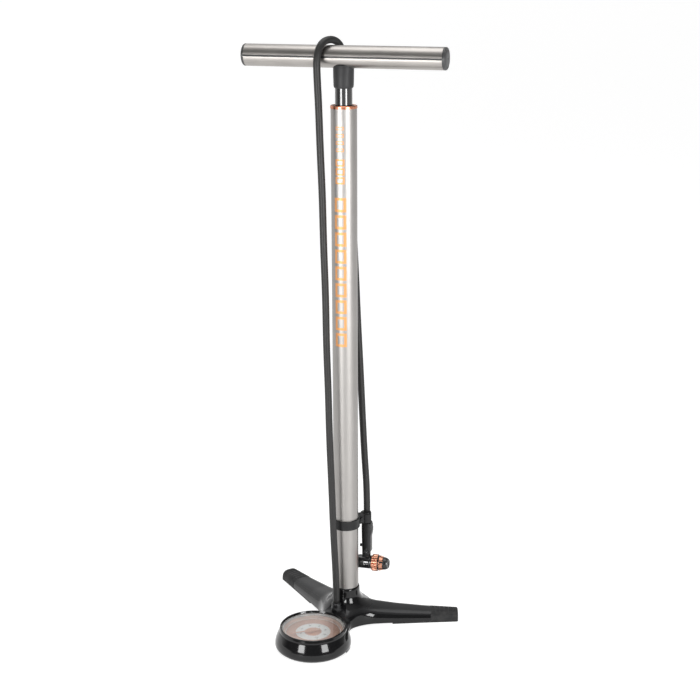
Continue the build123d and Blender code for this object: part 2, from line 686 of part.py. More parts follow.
# ---------------------------------------------------------------- writing the parts
def main():
    screw, nut = clip_screw()
    leg_right, leg_left = Rot(0, 0, LEG_ANGLE), Rot(0, 0, 180 - LEG_ANGLE)
    pad = leg_pad()
    parts = {
        "base_frame": base_frame(),
        "foot_pad_right": leg_right * pad,
        "foot_pad_left": leg_left * pad,
        "front_foot": front_foot(),
        "barrel_tube": barrel_tube(),
        "barrel_cap": barrel_cap(),
        "rod_guide": rod_guide(),
        "rod_wiper": rod_wiper(),
        "barrel_plug": barrel_plug(),
        "plug_seal": plug_seal(),
        "valve_poppet": valve_poppet(),
        "valve_spring": valve_spring(),
        "air_manifold": air_manifold(),
        "feed_pipe": feed_pipe(),
        "hose_fitting": hose_fitting(),
        "hose": hose(),
        "handle_tube": handle_tube(),
        "handle_inlays": handle_inlays(),
        "handle_cap_left": handle_cap(-1),
        "handle_cap_right": handle_cap(1),
        "handle_collar": handle_collar(),
        "handle_bolt": handle_bolt(),
        "piston_rod": piston_rod(),
        "rod_top_plug": rod_top_plug(),
        "piston": piston(),
        "piston_seal": piston_seal(),
        "piston_screw": piston_screw(),
        "rod_bumper": rod_bumper(),
        "gauge_case": gauge_case(),
        "gauge_bezel": gauge_bezel(),
        "gauge_lens": gauge_lens(),
        "dial_surround": dial_surround(),
        "gauge_dial": gauge_dial(),
        "needle": needle(),
        "pinion_arbor": pinion_arbor(),
        "sector_gear": sector_gear(),
        "movement_frame": movement_frame(),
        "gauge_socket": gauge_socket(),
        "bourdon_tube": bourdon_tube(),
        "clip_band": clip_band(),
        "clip_screw": screw,
        "clip_nut": nut,
        "head_body": head_body(),
        "thumb_lever": thumb_lever(),
        "lever_pin": lever_pin(),
        "chuck_collar": chuck_collar(),
        "chuck_nose": chuck_nose(),
        "valve_gasket": valve_gasket(),
        "lock_plunger": lock_plunger(),
        "bleed_button": bleed_button(),
    }
    for name, shape in parts.items():
        export_step(shape, f"parts/{name}.step")


main()
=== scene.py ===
import math

import bpy
import numpy as np
from mathutils import Matrix, Vector


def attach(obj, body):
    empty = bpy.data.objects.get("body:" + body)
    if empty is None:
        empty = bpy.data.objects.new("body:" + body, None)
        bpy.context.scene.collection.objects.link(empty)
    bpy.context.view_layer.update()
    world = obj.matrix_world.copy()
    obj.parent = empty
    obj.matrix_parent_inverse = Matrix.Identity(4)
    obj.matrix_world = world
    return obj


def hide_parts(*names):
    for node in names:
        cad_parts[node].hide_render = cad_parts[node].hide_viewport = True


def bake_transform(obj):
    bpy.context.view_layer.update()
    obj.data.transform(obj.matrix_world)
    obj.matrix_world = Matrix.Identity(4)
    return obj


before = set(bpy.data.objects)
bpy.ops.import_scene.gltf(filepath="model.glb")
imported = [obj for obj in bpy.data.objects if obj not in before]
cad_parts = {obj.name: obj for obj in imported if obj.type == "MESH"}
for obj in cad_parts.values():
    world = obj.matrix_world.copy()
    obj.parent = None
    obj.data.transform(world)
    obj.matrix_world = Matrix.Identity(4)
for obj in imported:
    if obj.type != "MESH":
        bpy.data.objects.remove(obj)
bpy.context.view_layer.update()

# ---------------------------------------------------------------------------- floor, light, camera
# A pale, faintly glowing floor, three soft lamps and a sky that is dark in front and brighter behind and above,
# seen from the right of the gauge.


def mesh_object(name, points, faces):
    """A smooth mesh object, from an (n, 3) array of points and a list of arrays of faces' corners."""
    mesh = bpy.data.meshes.new(name)
    mesh.from_pydata(points.tolist(), [], [face for block in faces for face in block.tolist()])
    mesh.polygons.foreach_set("use_smooth", np.full(len(mesh.polygons), True))
    obj = bpy.data.objects.new(name, mesh)
    bpy.context.scene.collection.objects.link(obj)
    return obj


class Wire:
    """A node socket that sums, differences, products and powers can be written with."""

    def __init__(self, socket):
        self.socket = socket

    def maths(self, operation, other, swapped=False):
        first, second = (other, self) if swapped else (self, other)
        tree = self.socket.id_data
        node = tree.nodes.new("ShaderNodeMath")
        node.operation = operation
        for socket, value in zip(node.inputs, (first, second)):
            if isinstance(value, Wire):
                tree.links.new(value.socket, socket)
            elif value is not None:
                socket.default_value = value
        return Wire(node.outputs[0])

    def __add__(self, other):
        return self.maths("ADD", other)

    def __sub__(self, other):
        return self.maths("SUBTRACT", other)

    def __mul__(self, other):
        return self.maths("MULTIPLY", other)

    def __pow__(self, other):
        return self.maths("POWER", other)

    def __rsub__(self, other):
        return self.maths("SUBTRACT", other, swapped=True)

    __radd__, __rmul__ = __add__, __mul__

    def over(self, limit):
        """1 where the value is over the limit, else 0."""
        return self.maths("GREATER_THAN", limit)

    def under(self, limit):
        """1 where the value is under the limit, else 0."""
        return self.maths("LESS_THAN", limit)

    def most(self, other):
        return self.maths("MAXIMUM", other)

    def least(self, other):
        return self.maths("MINIMUM", other)

    def size(self):
        return self.maths("ABSOLUTE", None)

    def wrapped(self, period):
        """The value's remainder on division by the period."""
        return self.maths("FLOORED_MODULO", period)

    def angle_from(self, other):
        """The angle whose sine goes with this value and whose cosine with the other."""
        return self.maths("ARCTAN2", other)


class Finish:
    """One material: a Principled shader and the nodes that feed it."""

    def __init__(self, name, **constants):
        self.material = bpy.data.materials.new(name)
        self.material.use_nodes = True
        self.tree = self.material.node_tree
        self.shader = self.tree.nodes["Principled BSDF"]
        self.set(**constants)

    def set(self, **values):
        """Sets or links the shader's sockets, given by name with underscores for spaces."""
        for name, value in values.items():
            socket = self.shader.inputs[name.replace("_", " ")]
            if isinstance(value, Wire):
                self.tree.links.new(value.socket, socket)
            else:
                is_colour = isinstance(value, tuple) and len(value) == 3
                socket.default_value = (*value, 1.0) if is_colour else value

    def node(self, kind, output=0, settings=(), **inputs):
        """A node of any type: its settings first, then its sockets' values or links."""
        node = self.tree.nodes.new(kind)
        for name, value in dict(settings).items():
            setattr(node, name, value)
        for name, value in inputs.items():
            key = int(name[1:]) if name[0] == "i" and name[1:].isdigit() else name.replace("_", " ")
            socket = node.inputs[key]
            if isinstance(value, Wire):
                self.tree.links.new(value.socket, socket)
            else:
                socket.default_value = (*value, 1.0) if socket.type == "RGBA" and len(value) == 3 else value
        return Wire(node.outputs[output])

    def place(self):
        """The object's own coordinates, in metres."""
        return self.node("ShaderNodeTexCoord", "Object")

    def parts(self, vector):
        """The x, y and z of a vector."""
        return [self.node("ShaderNodeSeparateXYZ", n, i0=vector) for n in range(3)]

    def joined(self, x, y, z):
        return self.node("ShaderNodeCombineXYZ", X=x, Y=y, Z=z)

    def scaled(self, vector, sizes):
        """The vector times three numbers, one for each axis."""
        return self.node("ShaderNodeVectorMath", 0, {"operation": "MULTIPLY"}, i0=vector, i1=sizes)

    def speckle(self, vector, scale, detail=2.0, roughness=0.5):
        """Soft noise from 0 to 1, with scale spots to a metre."""
        return self.node("ShaderNodeTexNoise", 0, Vector=vector, Scale=scale, Detail=detail, Roughness=roughness)

    def between(self, value, low, high, start=0.0, end=1.0):
        """Carries a value from the range low to high to the range start to end, and holds it there."""
        return self.node("ShaderNodeMapRange", From_Min=low, From_Max=high, To_Min=start, To_Max=end, Value=value)

    def mixed(self, share, first, second):
        """A colour that goes from the first to the second as share goes from 0 to 1."""
        node = self.tree.nodes.new("ShaderNodeMix")
        node.data_type = "RGBA"
        for index, value in ((0, share), (6, first), (7, second)):
            if isinstance(value, Wire):
                self.tree.links.new(value.socket, node.inputs[index])
            else:
                node.inputs[index].default_value = value if index == 0 else (*value, 1.0)
        return Wire(node.outputs[2])

    def bumped(self, height, distance, strength=1.0):
        """Feeds the shader's normal from a height in units of distance, in metres."""
        self.set(Normal=self.node("ShaderNodeBump", 0, Height=height, Distance=distance, Strength=strength))


def dress(finish, *objects):
    """Puts one finish on every slot of these objects."""
    for obj in objects:
        if not obj.data.materials:
            obj.data.materials.append(finish.material)
        for slot in obj.material_slots:
            slot.material = finish.material


def stands_for(piece, finish, body, node):
    """Dresses a piece and has it ride a body in place of a CAD node."""
    dress(finish, piece)
    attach(piece, body)
    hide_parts(node)


FLOOR_HALF = 400.0       # metres
floor_finish = Finish("pale floor", Base_Color=(0.42, 0.42, 0.42), Roughness=0.6, Specular_IOR_Level=0.1,
                      Emission_Color=(1.0, 1.0, 1.0), Emission_Strength=0.78)
floor = mesh_object("floor", np.array([[-1, -1, 0], [1, -1, 0], [1, 1, 0], [-1, 1, 0.0]]) * FLOOR_HALF,
                    [np.array([[0, 1, 2, 3]])])
dress(floor_finish, floor)

world = bpy.context.scene.world or bpy.data.worlds.new("sky")
bpy.context.scene.world = world
world.use_nodes = True
WALL_EDGE = math.radians(119.6)


def sky_step(direction, low, high, start, end):
    """A smooth ramp over how far the sky's direction lies along a given direction, from start to end."""
    tree = world.node_tree
    place = tree.nodes.new("ShaderNodeTexCoord")
    along = tree.nodes.new("ShaderNodeVectorMath")
    along.operation = "DOT_PRODUCT"
    along.inputs[1].default_value = direction
    tree.links.new(place.outputs["Generated"], along.inputs[0])
    ramp = tree.nodes.new("ShaderNodeMapRange")
    ramp.interpolation_type = "SMOOTHSTEP"
    for key, value in (("From Min", low), ("From Max", high), ("To Min", start), ("To Max", end)):
        ramp.inputs[key].default_value = value
    tree.links.new(along.outputs["Value"], ramp.inputs["Value"])
    return Wire(ramp.outputs["Result"])


overhead = sky_step((0, 0, 1), 0.5, 0.85, 0.0, 0.5)
behind = sky_step((-0.481, 0.877, 0), -0.1, 0.4, 0.0, 1.0)
left_wall = sky_step((-math.sin(WALL_EDGE), math.cos(WALL_EDGE), 0), 0.0, 0.012, 0.0, 1.0)
glow = 0.08 + behind * (left_wall * 0.6 + 0.3)
world.node_tree.nodes["Background"].inputs["Color"].default_value = (1.0, 1.0, 1.0, 1.0)
world.node_tree.links.new(glow.most(overhead).socket, world.node_tree.nodes["Background"].inputs["Strength"])


def soft_lamp(name, place, aim, width, height, watts):
    """A rectangular lamp at a place, turned to shine at a point."""
    lamp = bpy.data.lights.new(name, "AREA")
    lamp.shape, lamp.size, lamp.size_y, lamp.energy = "RECTANGLE", width, height, watts
    obj = bpy.data.objects.new(name, lamp)
    obj.location = place
    obj.rotation_euler = (Vector(aim) - Vector(place)).to_track_quat("-Z", "Y").to_euler()
    bpy.context.scene.collection.objects.link(obj)


soft_lamp("left_lamp", (-0.16, -1.62, 0.47), (0, 0, 0.25), 0.5, 0.6, 17)
soft_lamp("right_lamp", (1.35, -0.68, 0.5), (0, 0, 0.25), 0.5, 0.6, 15)
soft_lamp("top_lamp", (0.1, 0.2, 2.4), (0, 0, 0.2), 1.8, 1.8, 24)
bpy.context.scene.view_settings.view_transform = "Standard"

LENS_MM, SENSOR_MM = 70.79, 36.0
CAMERA_PLACE = (0.7659, -1.3839, 0.8155)
CAMERA_TURN, CAMERA_TILT, CAMERA_ROLL = math.radians(28.75), math.radians(90 - 16.3), math.radians(-0.26)
camera_data = bpy.data.cameras.new("camera")
camera_data.lens, camera_data.sensor_width = LENS_MM, SENSOR_MM
camera = bpy.data.objects.new("camera", camera_data)
turn = Matrix.Rotation(CAMERA_TURN, 4, "Z") @ Matrix.Rotation(CAMERA_TILT, 4, "X")
camera.matrix_world = Matrix.Translation(CAMERA_PLACE) @ turn @ Matrix.Rotation(CAMERA_ROLL, 4, "Z")
bpy.context.scene.collection.objects.link(camera)
bpy.context.scene.camera = camera

# ---------------------------------------------------------------------------- hose
# Extruded rubber hose: up in front of the barrel from the swivel nut, over the handle and down behind to the head.
HOSE_OD = 0.0084
HOSE_ROUTE = [
    (0.0, -0.026, 0.032),
    (0.0, -0.026, 0.062),
    (-0.002, -0.0284, 0.122),
    (-0.0034, -0.0295, 0.188),
    (-0.0055, -0.0301, 0.248),
    (-0.0068, -0.0296, 0.308),
    (-0.0089, -0.0294, 0.366),
    (-0.01, -0.0283, 0.425),
    (-0.0125, -0.0276, 0.484),
    (-0.0142, -0.0263, 0.543),
    (-0.0171, -0.0254, 0.598),
    (-0.0189, -0.0245, 0.644),
    (-0.0203, -0.025, 0.676),
    (-0.0209, -0.0247, 0.699),
    (-0.0193, -0.016, 0.714),
    (-0.0155, 0.002, 0.717),
    (-0.0126, 0.0167, 0.7095),
    (-0.011, 0.0242, 0.688),
    (-0.0104, 0.0256, 0.656),
    (-0.0098, 0.0288, 0.61),
    (-0.007, 0.0302, 0.558),
    (-0.0052, 0.0306, 0.5),
    (-0.0018, 0.0304, 0.441),
    (0.0004, 0.0312, 0.382),
    (0.0046, 0.0297, 0.323),
    (0.0076, 0.0294, 0.264),
    (0.0118, 0.027, 0.21),
    (0.0157, 0.0257, 0.168),
    (0.0157, 0.0257, 0.1385),
]


def smooth_line(route, steps=12):
    """The points of a NURBS line that has the route as its control points."""
    curve = bpy.data.curves.new("line", "CURVE")
    curve.dimensions = "3D"
    spline = curve.splines.new("NURBS")
    spline.points.add(len(route) - 1)
    spline.points.foreach_set("co", [v for point in route for v in (*point, 1.0)])
    spline.order_u, spline.use_endpoint_u = 3, True
    spline.resolution_u = steps
    holder = bpy.data.objects.new("line", curve)
    mesh = bpy.data.meshes.new_from_object(holder)
    line = np.empty(len(mesh.vertices) * 3)
    mesh.vertices.foreach_get("co", line)
    bpy.data.objects.remove(holder)
    return line.reshape(-1, 3)


def grid_faces(rows, around, start=0, flip=False):
    """Quads of a grid of rows that each close on themselves."""
    row, col = np.meshgrid(np.arange(rows - 1), np.arange(around), indexing="ij")
    after = (col + 1) % around
    here, above = start + row * around, start + (row + 1) * around
    quads = np.stack([here + col, here + after, above + after, above + col], -1).reshape(-1, 4)
    return quads[:, ::-1] if flip else quads


def closing_fan(ring, point, flip=False):
    """Triangles from a closed ring of vertex numbers to one more vertex."""
    fan = np.stack([ring, np.roll(ring, -1), np.full(len(ring), point)], -1)
    return fan[:, ::-1] if flip else fan


def placed(points, at):
    """Points taken by a matrix to their place."""
    return points.reshape(-1, 3) @ np.array(at.to_3x3()).T + np.array(at.translation)


def closed_grid(rows, around):
    """Faces of a grid of rows whose first and last rows are closed to the two vertices that follow the grid."""
    first, count = np.arange(around), rows * around
    last = count - around + first
    return [grid_faces(rows, around), closing_fan(first, count, True), closing_fan(last, count + 1)]


def tube(name, line, radius, around=24):
    """A closed tube along a line. Each ring is the radius times cos and sin of the angle round it, on two axes
    square to the line that are carried along without twisting. UV: u is round the tube, v metres along it."""
    tangent = np.gradient(line, axis=0)
    tangent /= np.linalg.norm(tangent, axis=1)[:, None]
    side = np.tile([1.0, 0.0, 0.0], (len(line), 1))
    side -= (side * tangent).sum(1)[:, None] * tangent
    side /= np.linalg.norm(side, axis=1)[:, None]
    up = np.cross(tangent, side)
    angle = np.linspace(0, 2 * np.pi, around, endpoint=False)
    ring = np.cos(angle)[None, :, None] * side[:, None] + np.sin(angle)[None, :, None] * up[:, None]
    points = np.concatenate([(line[:, None] + ring * radius).reshape(-1, 3), line[[0, -1]]])
    obj = mesh_object(name, points, closed_grid(len(line), around))
    along = np.concatenate([[0], np.cumsum(np.linalg.norm(np.diff(line, axis=0), axis=1))])
    row, col = np.meshgrid(np.arange(len(line) - 1), np.arange(around), indexing="ij")
    u = np.stack([col, col + 1, col + 1, col], -1) / around
    v = along[np.stack([row, row, row + 1, row + 1], -1)]
    uv = np.concatenate([np.stack([u, v], -1).reshape(-1, 2), np.zeros((6 * around, 2))])
    obj.data.uv_layers.new(name="UVMap").data.foreach_set("uv", uv.ravel())
    return obj


hose_line = smooth_line(HOSE_ROUTE)
hose = tube("air_hose", hose_line, HOSE_OD / 2)

hose_finish = Finish("hose rubber", Specular_IOR_Level=0.3)
u, v, _ = hose_finish.parts(hose_finish.node("ShaderNodeUVMap", 0, {"uv_map": "UVMap"}))
streaks = hose_finish.speckle(hose_finish.joined(u * 26.0, v * 14.0, 0.0), 1.0, 3.0, 0.6)
dust = hose_finish.speckle(hose_finish.place(), 900.0, 4.0, 0.65)
hose_finish.set(Base_Color=hose_finish.mixed(dust * streaks * 1.6, (0.011, 0.011, 0.0115), (0.034, 0.033, 0.032)),
                Roughness=hose_finish.between(streaks, 0.3, 0.75, 0.36, 0.52))
hose_finish.bumped(streaks * 0.7 + dust * 0.3, 0.00012, 0.6)
dress(hose_finish, hose)
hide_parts("hose")
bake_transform(hose)

# ---------------------------------------------------------------------------- base frame
# Moulded glass-filled nylon tripod: barrel socket, two foot legs, neck and gauge bowl flow into each other in one
# glossy piece. The legs are hollow underneath, and the bowl is a thick-walled dish.
LEG_ANGLES = (math.radians(27.8), math.radians(152.2))
LEG_END, BASE_LOW, GAUGE_Y = 0.1405, 0.0015, -0.0843
WALL, HUB_TOP = 0.0028, 0.0463
# distance along a leg from the barrel's axis, and the leg's half width and height there
LEG_STATIONS = [-0.02, 0, 0.03, 0.062, 0.1, 0.141]
LEG_HALF_WIDTHS = [0.025, 0.0245, 0.0214, 0.018, 0.0146, 0.0114]
LEG_HEIGHTS = [0.0225, 0.0225, 0.0203, 0.0162, 0.0133, 0.0117]


def leg_half_width(s):
    return np.interp(s, LEG_STATIONS, LEG_HALF_WIDTHS)


def leg_height(s):
    return np.interp(s, LEG_STATIONS, LEG_HEIGHTS)


def leg_distance(x, y, z, angle):
    """Roughly how far a point is outside a leg. Across the leg the section is a superellipse of power 3, its half
    width and height read from the distance along the leg, and its end is square with rounded corners."""
    s = x * math.cos(angle) + y * math.sin(angle)
    t = y * math.cos(angle) - x * math.sin(angle)
    half, height = leg_half_width(s), leg_height(s)
    grown = (np.abs(t) / half) ** 3 + (np.maximum(z, 0) / height) ** 3 + (np.maximum(s, 0) / LEG_END) ** 60
    reach = (grown ** (1 / 3) - 1) * np.minimum(half, height)
    return np.where(s < 0, reach - s * 1.5, reach)


def merged(first, second, width):
    """The union of two distances with a fillet: the smaller, less a quarter of the width times the square of the
    share by which they overlap."""
    overlap = np.maximum(width - np.abs(first - second), 0) / width
    return np.minimum(first, second) - overlap**2 * width / 4


def base_distance(x, y, z):
    """Roughly how far a point is outside the merged legs, flared socket, neck and bowl, with the dish cut away."""
    legs = merged(leg_distance(x, y, z, LEG_ANGLES[0]), leg_distance(x, y, z, LEG_ANGLES[1]), 0.02)
    flare = np.interp(z, [0, 0.016, 0.022, 0.028, 0.036, 0.0465], [0.027, 0.0262, 0.0212, 0.0187, 0.0170, 0.0163])
    solid = merged(legs, np.maximum(np.hypot(x, y) - flare, z - HUB_TOP), 0.016)
    neck = ((np.abs(x) / 0.0215) ** 3 + (np.maximum(z, 0) / 0.0195) ** 3) ** (1 / 3) - 1
    solid = merged(solid, np.where((y < 0.005) & (y > -0.07), neck * 0.02, 0.03), 0.01)
    from_gauge = np.hypot(x, y - GAUGE_Y)
    bowl = np.maximum(from_gauge - np.interp(z, [0, 0.0055, 0.0225], [0.0459, 0.0461, 0.0405]), z - 0.0218)
    return np.maximum(merged(solid, bowl, 0.018), 0.0398 - from_gauge)


NEAREST, FURTHEST = 0.004, 0.16


def base_skin(inset):
    """Points on the surface inset from the merged base, on rays from the foot of the barrel's axis: each ray is
    walked in 240 steps to where it leaves the base, and that step is then halved 22 times. The rays crowd together
    towards the legs' ends and the floor."""
    turn = np.linspace(0, 2 * np.pi, 721)[:-1]
    pull = sum(9.0 * np.exp(-(((turn - a + np.pi) % (2 * np.pi) - np.pi) / 0.09) ** 2) for a in LEG_ANGLES)
    pull = pull + 1.6 * np.exp(-((np.abs(turn - 1.5 * np.pi) - 0.56) / 0.16) ** 2) + 1.0
    share = np.concatenate([[0], np.cumsum(pull)])[:-1] / pull.sum()
    turn = np.interp(np.linspace(0, 1, 560, endpoint=False), np.append(share, 1.0), np.append(turn, 2 * np.pi))
    tilt = (np.linspace(0, 1, 78) ** 1.9) * (np.pi / 2)
    turn, tilt = np.meshgrid(turn, tilt[:-1])
    ray = np.stack([np.cos(turn) * np.cos(tilt), np.sin(turn) * np.cos(tilt), np.sin(tilt)], -1)
    near = np.full(turn.shape, NEAREST)
    steps = np.linspace(NEAREST, FURTHEST, 240)
    inside = np.ones(turn.shape, bool)
    for step in steps:
        spot = ray * step
        inside &= base_distance(spot[..., 0], spot[..., 1], spot[..., 2] + BASE_LOW) + inset < 0
        near = np.where(inside, step, near)
    far = near + (steps[1] - steps[0])
    for _ in range(22):
        middle = (near + far) / 2
        spot = ray * middle[..., None]
        within = base_distance(spot[..., 0], spot[..., 1], spot[..., 2] + BASE_LOW) + inset < 0
        near, far = np.where(within, middle, near), np.where(within, far, middle)
    return ray * near[..., None] + np.array([0, 0, BASE_LOW])


def base_shell():
    """The outer skin and, turned inside out, a skin one wall further in, joined round the bottom edge."""
    outer, inner = base_skin(0.0), base_skin(WALL)
    rows, around = outer.shape[:2]
    tops = [[0, 0, HUB_TOP], [0, 0, HUB_TOP - WALL]]
    points = np.concatenate([outer.reshape(-1, 3), inner.reshape(-1, 3), tops])
    count = rows * around
    first, last = np.arange(around), np.arange(around) + (rows - 1) * around
    after = (first + 1) % around
    rim = np.stack([first, first + count, after + count, after], -1)
    return mesh_object("base_skin", points, [
        grid_faces(rows, around), grid_faces(rows, around, count, True), rim,
        closing_fan(last, 2 * count), closing_fan(last + count, 2 * count + 1, True)])


LONGEST_CUT = 0.0012


def rounded_profile(outline, steps=6, share=0.3):
    """A closed outline with each corner cut by a parabola between points a share of the way along its sides."""
    outline = np.array(outline, float)
    before, after = np.roll(outline, 1, 0), np.roll(outline, -1, 0)
    entry, leave = (outline + side * np.minimum(share, LONGEST_CUT / np.linalg.norm(side, axis=1))[:, None]
                    for side in (before - outline, after - outline))
    t = np.linspace(0, 1, steps)[None, :, None]
    curve = (1 - t) ** 2 * entry[:, None] + 2 * t * (1 - t) * outline[:, None] + t**2 * leave[:, None]
    return curve.reshape(-1, 2)


def turned(name, outline, frame_at=Matrix.Identity(4), around=128, wave=None):
    """A ring turned from a closed outline of (radius, height) points, taken anticlockwise. wave(angle, height) is
    added to the radius. frame_at takes it from the Z axis to its place."""
    radius, height = np.array(outline, float).T
    angle = np.linspace(0, 2 * np.pi, around, endpoint=False)
    spread = np.repeat(radius[:, None], around, 1)
    if wave is not None:
        spread = spread + wave(angle[None], height[:, None], radius[:, None])
    up = np.broadcast_to(height[:, None], spread.shape)
    points = np.stack([spread * np.cos(angle), spread * np.sin(angle), up], -1)
    first = np.arange(around)
    last = first + (len(radius) - 1) * around
    close = np.stack([last, np.roll(last, -1), np.roll(first, -1), first], -1)
    return mesh_object(name, placed(points, frame_at), [grid_faces(len(radius), around), close])


AT_GAUGE = Matrix.Translation((0, GAUGE_Y, 0))
base_skin_piece = base_shell()
bowl = turned("gauge_bowl", rounded_profile([
    (0.0392, 0.0225), (0.0392, 0.0071), (0.0003, 0.0071), (0.0003, 0.0048), (0.0362, 0.0048), (0.0362, 0.0015),
    (0.0442, 0.0015), (0.0458, 0.0028), (0.0464, 0.0056), (0.0459, 0.0100), (0.0446, 0.0142), (0.0428, 0.0184),
    (0.0409, 0.0225)]), AT_GAUGE, 256)

gloss_black = Finish("gloss black nylon", Coat_IOR=1.4, Specular_IOR_Level=0.22, Coat_Roughness=0.03)
spot = gloss_black.place()
grain = gloss_black.speckle(spot, 420.0, 3.0, 0.6)
fine = gloss_black.speckle(spot, 2600.0, 2.0, 0.5)
_, _, up = gloss_black.parts(gloss_black.node("ShaderNodeNewGeometry", "Normal"))
_, _, height = gloss_black.parts(spot)
# Faces turned up and low down, such as the legs' tops, get a lighter base colour mixed with a little grain: painted
# sheen, standing in for the bright backdrop they reflect. They are also rougher and less coated.
leg_top = gloss_black.between(up, 0.55, 0.92) * gloss_black.between(height, 0.0235, 0.019)
top_sheen_and_grain = leg_top * 0.8 + grain * 0.2
gloss_black.set(Base_Color=gloss_black.mixed(top_sheen_and_grain, (0.0045, 0.0045, 0.0048), (0.020, 0.020, 0.021)),
                Roughness=gloss_black.between(leg_top * 0.75 + grain * 0.12, 0.0, 1.0, 0.09, 0.42),
                Coat_Weight=gloss_black.between(leg_top, 0.0, 1.0, 0.4, 0.1))
gloss_black.bumped(grain * 0.6 + fine * 0.4, 0.00002, 0.35)
for piece in (base_skin_piece, bowl):
    stands_for(piece, gloss_black, "base", "base_frame")
dress(gloss_black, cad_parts["gauge_bezel"])

# ---------------------------------------------------------------------------- foot pads
# A black rubber boot moulded over each leg's end, with five grip grooves across its top and a thin sole that runs
# back under the leg. A rubber ring is pressed under the bowl.
PAD_START, SOLE_START = 0.106, 0.058


def foot_pad(name, angle):
    """Sections along the leg, each a superellipse on a flat underside, a fraction of a millimetre proud of the
    leg. Grooves are dips in the height, and the boot steps down to the sole where it starts."""
    s = np.concatenate([[SOLE_START, SOLE_START + 0.0003], np.linspace(0.059, 0.1057, 40),
                        np.linspace(0.1059, 0.1404, 190), [0.1405, 0.1406, 0.1407]])
    ends = np.where(s > 0.1393, np.sqrt(np.maximum(1 - ((s - 0.1393) / 0.0015) ** 2, 0.02)), 1.0)
    corner = np.where(s > 0.1383, 1 - np.sqrt(np.maximum(1 - ((s - 0.1383) / 0.0024) ** 2, 0)), 0.0)
    boot = 1 / (1 + np.exp(-(s - PAD_START) / 0.00012))
    skirt = np.interp(s, [SOLE_START, PAD_START], [0.0026, 0.0068])
    half = leg_half_width(s) + 0.00012 - 0.0024 * corner
    height = skirt + (leg_height(s) + 0.00025 - skirt) * boot
    height = height * (0.9 + 0.1 * ends)
    around = 72
    q = np.linspace(0, np.pi, around - 12)
    across = np.sign(np.cos(q)) * np.abs(np.cos(q)) ** (2 / 3)
    rise = np.abs(np.sin(q)) ** (2 / 3)
    groove = np.zeros_like(s)
    for n in range(5):
        groove += np.exp(-(((s - 0.1122 - 0.0055 * n) / 0.00085) ** 4))
    y = half[:, None] * across[None]
    z = height[:, None] * rise[None]
    in_middle = 1 / (1 + np.exp((np.abs(y) - 0.0074) / 0.0003))
    z = z - groove[:, None] * in_middle * 0.0006 * (rise[None] > 0.5)
    flat = np.linspace(-1, 1, 14)[1:-1][None] * half[:, None]
    y = np.concatenate([y, flat], 1)
    z = np.maximum(np.concatenate([z, np.zeros_like(flat)], 1), 0)
    x = np.broadcast_to(s[:, None], y.shape)
    c, n = math.cos(angle), math.sin(angle)
    points = np.stack([x * c - y * n, x * n + y * c, z], -1)
    middles = points.mean(1)[[0, -1]]
    count = points.shape[1]
    return mesh_object(name, np.concatenate([points.reshape(-1, 3), middles]), closed_grid(len(s), count))


pad_rubber = Finish("pad rubber", Specular_IOR_Level=0.25)
spot = pad_rubber.place()
pebble = pad_rubber.speckle(spot, 1500.0, 3.0, 0.6)
scuff = pad_rubber.speckle(spot, 130.0, 4.0, 0.65)
scuffed = pad_rubber.between(scuff, 0.4, 0.7)
pad_rubber.set(Base_Color=pad_rubber.mixed(scuffed, (0.011, 0.011, 0.0115), (0.026, 0.0255, 0.025)),
               Roughness=pad_rubber.between(pebble, 0.3, 0.7, 0.48, 0.68))
pad_rubber.bumped(pebble, 0.00006, 0.7)
for name, angle in zip(("foot_pad_right", "foot_pad_left"), LEG_ANGLES):
    stands_for(foot_pad(name.replace("foot_pad", "boot"), angle), pad_rubber, "base", name)
dress(pad_rubber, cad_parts["front_foot"])

# ---------------------------------------------------------------------------- barrel
# Drawn aluminium tube, satin silver, with a very fine grain along it. A column of plain outlined orange blocks is
# screen printed on its front. The screwed cap is copper anodised, and the rod inside is gloss black.
BARREL_R = 0.0152
PRINT_TURN = math.radians(10)
# low end, high end, pitch, height, half width and line width of the blocks, in metres
PRINT_ROWS = ((0.361, 0.5425, 0.0202, 0.0166, 0.0072, 0.0031), (0.5550, 0.5850, 0.0102, 0.0082, 0.0056, 0.0019),
              (0.5920, 0.6245, 0.0082, 0.0040, 0.0050, 0.0010))


barrel_finish = Finish("satin barrel", Specular_IOR_Level=0.5)
spot = barrel_finish.place()
grain = barrel_finish.speckle(barrel_finish.scaled(spot, (2600.0, 2600.0, 40.0)), 1.0, 3.0, 0.6)
cloud = barrel_finish.speckle(spot, 22.0, 3.0, 0.55)
x, y, z = barrel_finish.parts(spot)
around = (x.angle_from(y * -1.0) - PRINT_TURN) * BARREL_R
shade = barrel_finish.between(grain * 0.65 + cloud * 0.35, 0.3, 0.7)
silver = barrel_finish.mixed(shade, (0.315, 0.303, 0.292), (0.395, 0.38, 0.366))
print_mask = None
for low, high, pitch, tall, half, stroke in PRINT_ROWS:
    rise = ((z - low).wrapped(pitch) - tall / 2).size()
    within = z.over(low) * z.under(high)
    box = rise.under(tall / 2) * around.size().under(half)
    hole = rise.under(tall / 2 - stroke) * around.size().under(half - stroke)
    mark = box * (1.0 - hole) * within
    print_mask = mark if print_mask is None else print_mask.most(mark)
speckles = barrel_finish.speckle(spot, 1900.0)
ink = print_mask * barrel_finish.between(speckles, 0.2, 0.45, 0.6, 0.85)
barrel_finish.set(Base_Color=barrel_finish.mixed(ink, silver, (0.74, 0.30, 0.07)),
                  Metallic=1.0 - ink * 0.6,
                  Roughness=barrel_finish.between(grain, 0.3, 0.7, 0.4, 0.5))
barrel_finish.bumped(grain, 0.00001, 0.3)
dress(barrel_finish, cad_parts["barrel_tube"])



